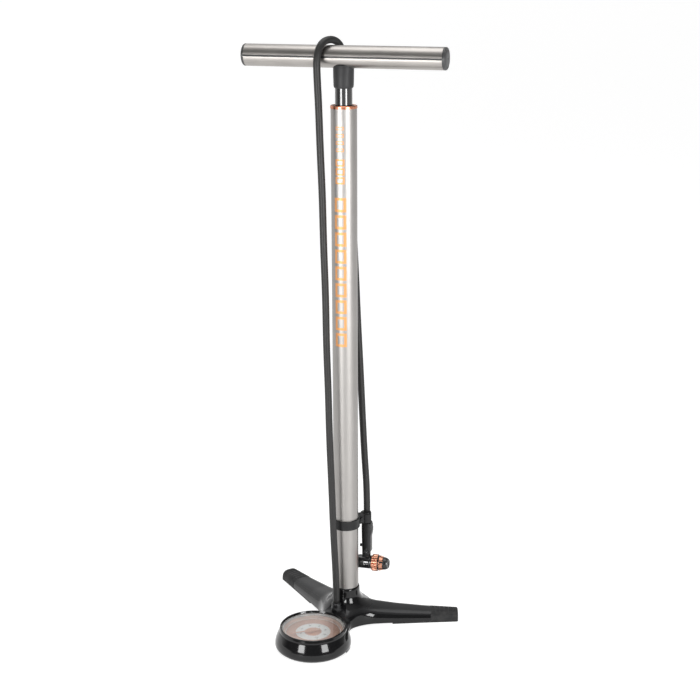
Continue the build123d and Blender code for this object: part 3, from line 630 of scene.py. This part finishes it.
def grained(name, sizes, colours, rough, bump=None, cloud=None, **constants):
    """A finish between two colours and two roughnesses. Its grain is soft noise, with sizes spots to a metre or a
    triple of them along the axes, and sets the roughness and the bump. The colour follows the grain too, or else
    noise with cloud spots to a metre."""
    finish = Finish(name, **constants)
    spot = finish.place()
    where, scale = (finish.scaled(spot, sizes), 1.0) if isinstance(sizes, tuple) else (spot, sizes)
    grain = finish.speckle(where, scale, 3.0, 0.6)
    share = finish.speckle(spot, cloud, 3.0, 0.6) if cloud else grain
    finish.set(Base_Color=finish.mixed(share, *colours), Roughness=finish.between(grain, 0.3, 0.7, *rough))
    if bump:
        finish.bumped(grain, *bump)
    return finish


copper = Finish("copper anodised", Metallic=1.0)
spot = copper.place()
turning = copper.speckle(copper.scaled(spot, (700.0, 700.0, 5200.0)), 1.0, 2.0, 0.5)
wear = copper.speckle(spot, 260.0, 4.0, 0.6)
copper.set(Base_Color=copper.mixed(copper.between(wear, 0.35, 0.7), (0.42, 0.155, 0.085), (0.60, 0.27, 0.17)),
           Roughness=copper.between(turning, 0.3, 0.7, 0.16, 0.3))
copper.bumped(turning, 0.00001, 0.4)
dress(copper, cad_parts["barrel_cap"])

rod_black = grained("rod gloss black", (900.0, 900.0, 60.0), ((0.003, 0.003, 0.0035), (0.009, 0.009, 0.0095)),
                    (0.08, 0.2), Specular_IOR_Level=0.6, Coat_Weight=0.5, Coat_Roughness=0.03)
dress(rod_black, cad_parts["piston_rod"])

# ---------------------------------------------------------------------------- handle
# Aluminium tube, brushed lengthwise, with a black strip let into a groove along each side, moulded plugs in its
# ends and a dark grey moulded saddle that takes the top of the rod.
HANDLE_TURN, HANDLE_Z, HANDLE_R, HANDLE_HALF = math.radians(10.2), 0.6975, 0.0127, 0.1175
handle_frame = Matrix.Translation((0, 0, HANDLE_Z)) @ Matrix.Rotation(HANDLE_TURN, 4, "Z")

handle_finish = Finish("brushed handle", Metallic=1.0)
turned_place = handle_finish.node("ShaderNodeMapping", 0, {"vector_type": "POINT"}, Vector=handle_finish.place(),
                                  Rotation=(0.0, 0.0, -HANDLE_TURN))
grain = handle_finish.speckle(handle_finish.scaled(turned_place, (30.0, 3000.0, 3000.0)), 1.0, 4.0, 0.65)
cloud = handle_finish.speckle(turned_place, 30.0, 3.0, 0.55)
shade = handle_finish.between(grain * 0.7 + cloud * 0.3, 0.32, 0.68)
handle_finish.set(Base_Color=handle_finish.mixed(shade, (0.30, 0.283, 0.268), (0.42, 0.398, 0.378)),
                  Roughness=handle_finish.between(grain, 0.3, 0.7, 0.28, 0.42))
handle_finish.bumped(grain, 0.000015, 0.4)
dress(handle_finish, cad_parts["handle_tube"])

black_nylon = grained("satin black nylon", 1800.0, ((0.009, 0.009, 0.0095), (0.020, 0.020, 0.0205)), (0.3, 0.46),
                      (0.00003, 0.5), 160.0, Specular_IOR_Level=0.22)
dress(black_nylon, *(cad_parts[n] for n in ("handle_inlays", "barrel_plug", "piston", "clip_band")))

cap_face = grained("handle plug nylon", 1500.0, ((0.026, 0.026, 0.027), (0.05, 0.05, 0.051)), (0.34, 0.5),
                   (0.00004, 0.5), Specular_IOR_Level=0.45)
plug_outline = rounded_profile([
    (0.0003, -0.0150), (0.0104, -0.0150), (0.0109, -0.0138), (0.0109, 0.0000), (0.0127, 0.0000), (0.0127, 0.0022),
    (0.0119, 0.0032), (0.0103, 0.0033), (0.0100, 0.0027), (0.0096, 0.0027), (0.0092, 0.0034), (0.0060, 0.0038),
    (0.0003, 0.0039)], 4)
for side, name in ((-1, "left"), (1, "right")):
    at_end = handle_frame @ Matrix.Translation((side * HANDLE_HALF, 0, 0))
    at_end = at_end @ Matrix.Rotation(side * math.pi / 2, 4, "Y")
    plug = turned("handle_plug_" + name, plug_outline, at_end, 128)
    stands_for(plug, cap_face, "handle", "handle_cap_" + name)

# heights up the saddle, and its half length along the tube and half width across it at each
SADDLE_LOW, SADDLE_MIDDLE_TOP = 0.6625, 0.6852
SADDLE_STATIONS = [0.6625, 0.6629, 0.6640, 0.6660, 0.6690, 0.6760, 0.6840, 0.6900, 0.6940]
SADDLE_ALONG = [0.0098, 0.0107, 0.0113, 0.0116, 0.0117, 0.0119, 0.01205, 0.0122, 0.0122]
SADDLE_ACROSS = [0.0098, 0.0107, 0.0113, 0.0116, 0.0116, 0.0116, 0.0110, 0.0102, 0.0098]


def saddle():
    """Rings up the saddle: an ellipse at each height, slightly wider up towards the tube, with a rounded foot. The
    rings above the tube's underside are hidden in the tube."""
    z = np.concatenate([[SADDLE_LOW], np.linspace(SADDLE_LOW, 0.6645, 9)[1:], np.linspace(0.665, 0.6885, 40)])
    along, across = (np.interp(z, SADDLE_STATIONS, half) for half in (SADDLE_ALONG, SADDLE_ACROSS))
    angle = np.linspace(0, 2 * np.pi, 96, endpoint=False)
    seat = np.sqrt(np.maximum((HANDLE_R + 0.0001) ** 2 - (across[:, None] * np.sin(angle)) ** 2, 0))
    x, y = along[:, None] * np.cos(angle), across[:, None] * np.sin(angle)
    height = np.minimum(np.broadcast_to(z[:, None], x.shape), HANDLE_Z - seat + 0.0004)
    c, n = math.cos(HANDLE_TURN), math.sin(HANDLE_TURN)
    points = np.stack([x * c - y * n, x * n + y * c, height], -1)
    points = np.concatenate([points.reshape(-1, 3), [[0, 0, SADDLE_LOW], [0, 0, SADDLE_MIDDLE_TOP]]])
    return mesh_object("saddle", points, closed_grid(len(z), len(angle)))


saddle_grey = grained("saddle nylon", 1600.0, ((0.020, 0.020, 0.021), (0.034, 0.034, 0.035)), (0.38, 0.52),
                      (0.00004, 0.6), 120.0, Specular_IOR_Level=0.22)
stands_for(saddle(), saddle_grey, "handle", "handle_collar")

# ---------------------------------------------------------------------------- gauge
# A printed aluminium dial in a pressed steel case, a bright sloping ring round it, a slim pointer, and a clear lens
# under the glossy black bezel. The dial has a copper band, a white scale with ticks and a plain copper centre.
DIAL_TOP, NUMBER_RADIUS = 0.0172, 0.0155
# radii of the dial: fine, long and outer marks from and to, then the inside and outside of the copper band
FINE_MARKS, LONG_MARKS, OUTER_MARKS = (0.0192, 0.0206), (0.0183, 0.0206), (0.0298, 0.0322)
BAND_IN, BAND_OUT = 0.0211, 0.0326


def every(angle, degrees):
    """How many degrees an angle is from the nearest mark of a scale with this many degrees between marks."""
    return ((angle * (180 / math.pi) + 135.0 + degrees / 2).wrapped(degrees) - degrees / 2).size()


def ring_of(radius, limits):
    """1 between two radii, else 0."""
    return radius.over(limits[0]) * radius.under(limits[1])


dial_finish = Finish("printed dial", Metallic=0.0, Specular_IOR_Level=0.5)
x, y, _ = dial_finish.parts(dial_finish.place())
y = y - GAUGE_Y
radius = (x * x + y * y) ** 0.5
angle = x.angle_from(y)
brush = dial_finish.speckle(dial_finish.joined(angle * 36.0, radius * 260.0, 0.0), 1.0, 3.0, 0.6)
rays = ((angle * (24.0 / math.pi)).wrapped(2.0) - 1.0).size()
star = 0.0094 + rays * 0.0016
in_scale = angle.size().under(math.radians(139))
fine_marks = every(angle, 9.0).under(0.55) * ring_of(radius, FINE_MARKS)
long_marks = every(angle, 45.0).under(0.9) * ring_of(radius, LONG_MARKS)
outer_marks = every(angle, 9.0).under(0.5) * ring_of(radius, OUTER_MARKS)
band = dial_finish.mixed(dial_finish.between(brush, 0.3, 0.7), (0.52, 0.30, 0.23), (0.66, 0.44, 0.36))
centre = dial_finish.mixed(dial_finish.between(rays, 0.2, 0.8), (0.58, 0.27, 0.17), (0.72, 0.42, 0.31))
white = dial_finish.mixed(brush, (0.80, 0.80, 0.79), (0.88, 0.88, 0.87))
paint = dial_finish.mixed(radius.over(star), centre, white)
paint = dial_finish.mixed(radius.over(BAND_IN), paint, band)
paint = dial_finish.mixed(radius.over(BAND_OUT), paint, white)
ring_line = (radius - star).size().under(0.00012) + (radius - BAND_OUT).size().under(0.0002)
marks = ((fine_marks + long_marks + outer_marks) * in_scale + ring_line * 0.6).least(1.0)
dial_finish.set(Base_Color=dial_finish.mixed(marks * 0.8, paint, (0.10, 0.09, 0.085)),
                Metallic=dial_finish.between(ring_of(radius, (BAND_IN, BAND_OUT)), 0.0, 1.0, 0.1, 0.45),
                Roughness=dial_finish.between(brush, 0.3, 0.7, 0.3, 0.42))
dress(dial_finish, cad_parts["gauge_dial"])

number_finish = Finish("dial ink", Roughness=0.5, Specular_IOR_Level=0.3)
blot = number_finish.speckle(number_finish.place(), 4000.0)
number_finish.set(Base_Color=number_finish.mixed(blot, (0.05, 0.05, 0.055), (0.11, 0.11, 0.115)))
for n in range(7):
    lettering = bpy.data.curves.new("number", "FONT")
    lettering.body, lettering.size = str(2 * n), 0.0046
    lettering.align_x, lettering.align_y = "CENTER", "CENTER"
    holder = bpy.data.objects.new("number", lettering)
    flat = bpy.data.meshes.new_from_object(holder)
    bpy.data.objects.remove(holder)
    bearing = math.radians(-135 + 45 * n)
    across, up = NUMBER_RADIUS * math.sin(bearing), NUMBER_RADIUS * math.cos(bearing)
    flat.transform(Matrix.Translation((across, GAUGE_Y + up, DIAL_TOP + 0.00004)))
    number = bpy.data.objects.new(f"dial_number_{2 * n}", flat)
    bpy.context.scene.collection.objects.link(number)
    dress(number_finish, number)
    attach(number, "base")

bright_steel = grained("bright steel", (500.0, 500.0, 4200.0), ((0.60, 0.60, 0.60), (0.78, 0.78, 0.775)),
                       (0.14, 0.26), Metallic=1.0)
dress(bright_steel, *(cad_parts[n] for n in (
    "gauge_case", "handle_bolt", "rod_top_plug", "piston_screw", "valve_spring")))

surround_finish = Finish("dial surround", Specular_IOR_Level=0.5)
x, y, _ = surround_finish.parts(surround_finish.place())
radius = (x * x + (y - GAUGE_Y) * (y - GAUGE_Y)) ** 0.5
grain = surround_finish.speckle(surround_finish.place(), 900.0, 3.0, 0.6)
silver = surround_finish.mixed(grain, (0.70, 0.70, 0.69), (0.86, 0.86, 0.85))
rose = surround_finish.mixed(grain, (0.62, 0.45, 0.38), (0.74, 0.58, 0.51))
lines = (radius - 0.0358).size().under(0.00022) + (radius - 0.0371).size().under(0.00018)
rings = surround_finish.mixed(radius.over(0.0356), rose, silver)
surround_finish.set(Base_Color=surround_finish.mixed(lines * 0.6, rings, (0.16, 0.15, 0.15)),
                    Metallic=surround_finish.between(radius, 0.0355, 0.0357, 0.15, 0.6),
                    Roughness=surround_finish.between(grain, 0.3, 0.7, 0.24, 0.36))
dress(surround_finish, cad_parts["dial_surround"])

pointer_paint = grained("pointer paint", 3000.0, ((0.62, 0.36, 0.27), (0.72, 0.46, 0.36)), (0.34, 0.48),
                        Specular_IOR_Level=0.4)
dress(pointer_paint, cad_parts["needle"])

lens_glass = Finish("clear lens", IOR=1.49, Transmission_Weight=1.0, Base_Color=(0.99, 0.995, 0.99))
smear = lens_glass.speckle(lens_glass.place(), 60.0, 4.0, 0.6)
lens_glass.set(Roughness=lens_glass.between(smear, 0.4, 0.75, 0.0, 0.035))
dress(lens_glass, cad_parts["gauge_lens"])

brass = Finish("turned brass", Metallic=1.0)
spot = brass.place()
grain = brass.speckle(brass.scaled(spot, (900.0, 900.0, 3000.0)), 1.0, 3.0, 0.6)
tarnish = brass.speckle(spot, 150.0, 4.0, 0.6)
brass.set(Base_Color=brass.mixed(brass.between(tarnish, 0.35, 0.7), (0.58, 0.42, 0.19), (0.74, 0.57, 0.29)),
          Roughness=brass.between(grain, 0.3, 0.7, 0.22, 0.38))
dress(brass, *(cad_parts[n] for n in ("pinion_arbor", "sector_gear", "movement_frame", "gauge_socket",
                                           "bourdon_tube", "feed_pipe", "air_manifold")))

soft_seal = grained("seal rubber", 2200.0, ((0.012, 0.012, 0.0125), (0.028, 0.028, 0.0285)), (0.4, 0.6),
                    Specular_IOR_Level=0.4)
dress(soft_seal, *(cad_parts[n] for n in ("rod_wiper", "plug_seal", "valve_poppet", "piston_seal",
                                               "rod_bumper", "valve_gasket")))

acetal = grained("white acetal", 1200.0, ((0.70, 0.69, 0.65), (0.80, 0.79, 0.76)), (0.3, 0.42),
                 Specular_IOR_Level=0.45)
dress(acetal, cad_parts["lock_plunger"])
dress(black_nylon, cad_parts["rod_guide"])

# ---------------------------------------------------------------------------- hose fitting
# Black plated steel: a hexagon nut that turns on the base's spigot and a sleeve crimped on to the hose in rings.
plated = grained("black plated steel", (800.0, 800.0, 3600.0), ((0.018, 0.018, 0.019), (0.05, 0.05, 0.052)),
                 (0.2, 0.36), (0.00002, 0.4), Metallic=0.7)


def six_flats(angle, height, radius):
    """Takes the nut's outside in to a hexagon between two heights, leaving its ends and its bore round."""
    to_flat = (angle % (math.pi / 3)) - math.pi / 6
    flat = 0.00635 / np.cos(to_flat)
    on_nut = (height > 0.0207) & (height < 0.0254) & (radius > 0.0066)
    return np.where(on_nut, np.minimum(flat - radius, 0.0), 0.0)


fitting_outline = [(0.0002, 0.0105), (0.0039, 0.0105), (0.0040, 0.0160), (0.0048, 0.0161), (0.0048, 0.0204),
                   (0.0064, 0.02045), (0.0069, 0.0208), (0.0070, 0.0212), (0.0070, 0.0248), (0.0069, 0.0252),
                   (0.0064, 0.0255), (0.0060, 0.0257), (0.0060, 0.0262), (0.0061, 0.0268), (0.0058, 0.0273),
                   (0.0061, 0.0278), (0.0058, 0.0284), (0.0061, 0.0290), (0.0058, 0.0296), (0.0060, 0.0302),
                   (0.0059, 0.0312), (0.0055, 0.0319), (0.0002, 0.0320)]
fitting = turned("hose_swivel", fitting_outline, Matrix.Translation((0, -0.026, 0)), 96, six_flats)
stands_for(fitting, plated, "base", "hose_fitting")
dress(plated, *(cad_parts[n] for n in ("clip_screw", "clip_nut", "bleed_button", "lever_pin")))

# ---------------------------------------------------------------------------- pump head
# A satin black moulded body with the hose socket on top and the chuck across its foot, a long thumb lever hinged
# over the chuck, a copper grip collar scalloped in two bands, and a black nose.
HEAD_PLACE, HEAD_TURN, CHUCK_Z = (0.0157, 0.0257, 0.0), math.radians(13.8), 0.0696
head_frame = Matrix.Translation(HEAD_PLACE) @ Matrix.Rotation(HEAD_TURN, 4, "Z")
chuck_frame = head_frame @ Matrix.Translation((0, 0, CHUCK_Z)) @ Matrix.Rotation(math.pi / 2, 4, "Y")


def stacked(name, stations, sections, power=4.0, around=80, rows=90):
    """A closed upright form: at each height a superellipse with its own back, front and half width, read along the
    stations by a smooth ramp between them."""
    z = np.linspace(stations[0], stations[-1], rows)
    edge = np.array([0.00004, 0.0002])
    z = np.concatenate([[z[0]], z[0] + edge, z[1:-1], z[-1] - edge[::-1], [z[-1]]])
    ends = np.full(len(z), 1.0)
    ends[[0, -1]], ends[[1, -2]], ends[[2, -3]] = 0.9, 0.95, 0.985
    back, front, half = (np.interp(z, stations, column) for column in np.array(sections).T)
    angle = np.linspace(0, 2 * np.pi, around, endpoint=False)
    cx, cy = (np.sign(f) * np.abs(f) ** (2 / power) for f in (np.cos(angle), np.sin(angle)))
    x = (back + front)[:, None] / 2 + (front - back)[:, None] / 2 * cx * ends[:, None]
    y = half[:, None] * cy * ends[:, None]
    points = np.stack([x, y, np.broadcast_to(z[:, None], x.shape)], -1).reshape(-1, 3)
    middles = [[(back[n] + front[n]) / 2, 0, z[n]] for n in (0, -1)]
    points = np.concatenate([points, middles])
    return mesh_object(name, placed(points, head_frame), closed_grid(len(z), around))


stem = stacked("head_stem", [0.0625, 0.080, 0.090, 0.104, 0.118, 0.1235, 0.1252],
               [(-0.0058, 0.0045, 0.0043), (-0.0058, 0.0045, 0.0043), (-0.0060, 0.0045, 0.0043),
                (-0.0064, 0.0045, 0.0043), (-0.0066, 0.0045, 0.0043), (-0.0064, 0.0045, 0.0043),
                (-0.0055, 0.0045, 0.0043)])
socket = turned("head_socket", rounded_profile([
    (0.0002, 0.1236), (0.0052, 0.1236), (0.00565, 0.1246), (0.00565, 0.1366), (0.0052, 0.1384), (0.0002, 0.1385)], 4),
    head_frame, 96)
chuck = turned("chuck_body", rounded_profile([
    (0.0002, -0.0129), (0.0060, -0.0129), (0.0080, -0.0120), (0.0086, -0.0100), (0.0086, 0.0044), (0.0083, 0.0046),
    (0.0083, 0.0054), (0.0086, 0.0056), (0.0086, 0.0070), (0.0066, 0.0070), (0.0066, 0.0154), (0.0002, 0.0154)], 4),
    chuck_frame, 128)


def thumb_lever():
    """Rings up a channel round the stem: a C-shaped strip of even wall whose two legs clasp the stem. The strip
    goes round its outline once outside and back inside. The pad swells near the top, with grip ridges across it."""
    z = np.linspace(0.0, 1.0, 150)
    height = 0.0840 + z * (0.1236 - 0.0840)
    swell = 1 / (1 + np.exp(-(height - 0.107) / 0.0011))
    swell = swell * np.interp(height, [0.10, 0.114, 0.1236], [0.0, 1.0, 0.72])
    front = 0.0059 + 0.0012 * swell
    outer = np.interp(height, [0.084, 0.096, 0.108, 0.1236], [0.0060, 0.0060, 0.0062, 0.0062]) + 0.0003 * swell
    inner, front_in, bend, corner = 0.00468, 0.00475, 0.0006, 0.0020
    back = np.interp(height, [0.084, 0.090, 0.104, 0.1236], [-0.0006, -0.0016, -0.0024, -0.0022])
    ridge = 0.00025 * swell * np.cos(2 * np.pi * (height - 0.108) / 0.0021)
    sines, cosines = (f(np.linspace(0, np.pi / 2, 9)) for f in (np.sin, np.cos))
    same = np.ones_like(height)
    x = [back, *(front - corner + corner * t for t in (*sines, *cosines)), back,
         back, *(same * (front_in - bend + bend * t) for t in (*cosines, *sines)), back]
    y = [-outer, *(-outer + corner * (1 - t) for t in cosines), *(outer - corner * (1 - t) for t in sines), outer,
         same * inner, *(same * (inner - bend * (1 - t)) for t in sines),
         *(same * (bend * (1 - t) - inner) for t in cosines), -same * inner]
    x, y = np.array(x).T, np.array(y).T
    x = x + np.where(x > 0.0052, ridge[:, None], 0.0)
    taper = np.interp(z, [0, 0.03, 0.06, 0.82, 0.93, 0.985, 1.0], [0.0, 0.7, 1.0, 1.0, 0.85, 0.5, 0.1])
    x = np.where(x > 0.0049, 0.0049 + (x - 0.0049) * taper[:, None], x)
    points = np.stack([x, y, np.broadcast_to(height[:, None], x.shape)], -1)
    count = points.shape[1]
    left, right = np.arange(count // 2 - 1), count - 1 - np.arange(count // 2)
    strip = np.stack([left, left + 1, right[1:], right[:-1]], -1)
    top = (len(z) - 1) * count
    return mesh_object("lever_channel", placed(points, head_frame),
                       [grid_faces(len(z), count), strip[:, ::-1], strip + top])


lever = thumb_lever()
EYE_OUTLINE = [(0.0015, 0.0047), (0.0041, 0.0047), (0.0041, 0.0057), (0.0036, 0.0061), (0.0015, 0.0061)]
pin_frame = head_frame @ Matrix.Translation((0.0016, 0, 0.086)) @ Matrix.Rotation(-math.pi / 2, 4, "X")
pivot_eye = turned("lever_eyes", [(r, -h) for r, h in EYE_OUTLINE[::-1]], pin_frame, 64)
pivot_eye_far = turned("lever_eyes_far", EYE_OUTLINE, pin_frame, 64)


def scallops(angle, height, radius):
    """Seventeen round flutes in the collar's wide band, 1.5 mm deep times the power 0.7 of a cosine round it, and
    six square slots in its tapered one."""
    wide = (height > 0.0078) & (height < 0.0147) & (radius > 0.0095)
    narrow = (height > 0.0172) & (radius > 0.0078)
    flute = np.maximum(np.cos(17 * angle), 0) ** 0.7 * 0.0015
    slot = (np.cos(6 * angle) > 0.72) * 0.0010
    fade = np.clip(np.minimum(height - 0.0078, 0.0147 - height) / 0.0008, 0, 1)
    return -np.where(wide, flute * fade, 0) - np.where(narrow, slot, 0)


wide_band = np.linspace(0.0079, 0.0146, 18)
narrow_band = np.linspace(0.0169, 0.0213, 12)
collar_outline = [(0.00675, 0.0073), (0.0098, 0.0073), (0.0104, 0.0075), (0.0106, 0.0078)]
collar_outline += [(0.0106, h) for h in wide_band] + [(0.0104, 0.0149), (0.0098, 0.0151), (0.0087, 0.0152),
                                                      (0.0086, 0.0158), (0.0087, 0.0163), (0.0094, 0.0165)]
collar_outline += [(0.0097 - (h - 0.0169) * 0.3, h) for h in narrow_band]
collar_outline += [(0.0080, 0.0214), (0.00722, 0.0214), (0.00722, 0.0160), (0.00675, 0.0160)]
collar = turned("grip_collar", collar_outline, chuck_frame, 240, scallops)
nose = turned("chuck_tip", rounded_profile([
    (0.0041, 0.0280), (0.0041, 0.0164), (0.0071, 0.0164), (0.0071, 0.0214), (0.0080, 0.0214), (0.0079, 0.0232),
    (0.0075, 0.0250), (0.0067, 0.0268), (0.0058, 0.0282), (0.0048, 0.0286)], 4), chuck_frame, 128)

collar_copper = Finish("grip collar copper", Specular_IOR_Level=0.5)
x, y, z = collar_copper.parts(collar_copper.place())
x, y, z = x - HEAD_PLACE[0], y - HEAD_PLACE[1], z - CHUCK_Z
along = x * math.cos(HEAD_TURN) + y * math.sin(HEAD_TURN)
across = y * math.cos(HEAD_TURN) - x * math.sin(HEAD_TURN)
reach = (across * across + z * z) ** 0.5
# Painted shade: the groove between the two bands and the floors of the slots in the tapered band are painted near
# black and less metallic, for the shade that falls in them.
groove = along.over(0.0150) * along.under(0.0161)
slot_floor = along.over(0.0167) * reach.under(0.01037 - (along - 0.0147) * 0.3 - 0.0005)
recess_shade = (groove + slot_floor).least(1.0)
wear = collar_copper.speckle(collar_copper.place(), 420.0, 4.0, 0.6)
metal = collar_copper.mixed(collar_copper.between(wear, 0.35, 0.7), (0.44, 0.19, 0.12), (0.62, 0.32, 0.22))
# Painted shade: the wide band turns dark copper towards the bottoms of its flutes, for the shade that falls in them.
valley_shade = collar_copper.between(reach, 0.0088, 0.0104, 0.35, 1.0)
metal = collar_copper.mixed(along.under(0.0149) * (1.0 - valley_shade), metal, (0.09, 0.028, 0.014))
collar_copper.set(Base_Color=collar_copper.mixed(recess_shade, metal, (0.008, 0.008, 0.0085)), Metallic=1.0 - recess_shade * 0.9,
                  Roughness=collar_copper.between(wear, 0.3, 0.7, 0.24, 0.38))

head_nylon = Finish("head nylon", Specular_IOR_Level=0.22)
spot = head_nylon.place()
grain = head_nylon.speckle(spot, 2000.0, 3.0, 0.6)
rubbed = head_nylon.speckle(spot, 210.0, 4.0, 0.65)
rubbed = head_nylon.between(rubbed, 0.4, 0.7)
head_nylon.set(Base_Color=head_nylon.mixed(rubbed, (0.007, 0.007, 0.0075), (0.019, 0.019, 0.0195)),
               Roughness=head_nylon.between(grain, 0.3, 0.7, 0.2, 0.36))
head_nylon.bumped(grain, 0.00003, 0.5)
lever_black = grained("lever black", (2200.0, 2200.0, 260.0), ((0.020, 0.020, 0.021), (0.042, 0.042, 0.043)),
                      (0.26, 0.4), (0.00002, 0.4), Metallic=0.3, Specular_IOR_Level=0.25)
nose_finish = Finish("nose nylon", Specular_IOR_Level=0.5)
x, y, z = nose_finish.parts(nose_finish.place())
along = (x - HEAD_PLACE[0]) * math.cos(HEAD_TURN) + (y - HEAD_PLACE[1]) * math.sin(HEAD_TURN)
grain = nose_finish.speckle(nose_finish.place(), 2000.0, 3.0, 0.6)
black = nose_finish.mixed(grain, (0.007, 0.007, 0.0075), (0.016, 0.016, 0.0165))
nose_finish.set(Base_Color=nose_finish.mixed(along.over(0.0272), black, (0.10, 0.10, 0.10)),
                Roughness=nose_finish.between(grain, 0.3, 0.7, 0.16, 0.3))
for piece, finish, body, node, slot in (
        (stem, head_nylon, "pump_head", "head_body", "black_nylon"),
        (socket, head_nylon, "pump_head", "head_body", "black_nylon"),
        (chuck, rod_black, "pump_head", "head_body", "black_nylon"),
        (lever, lever_black, "lever", "thumb_lever", "lever_grey"),
        (pivot_eye, lever_black, "lever", "thumb_lever", "lever_grey"),
        (pivot_eye_far, lever_black, "lever", "thumb_lever", "lever_grey"),
        (collar, collar_copper, "collar", "chuck_collar", "copper_anodised"),
        (nose, nose_finish, "pump_head", "chuck_nose", "black_nylon")):
    stands_for(piece, finish, body, node)
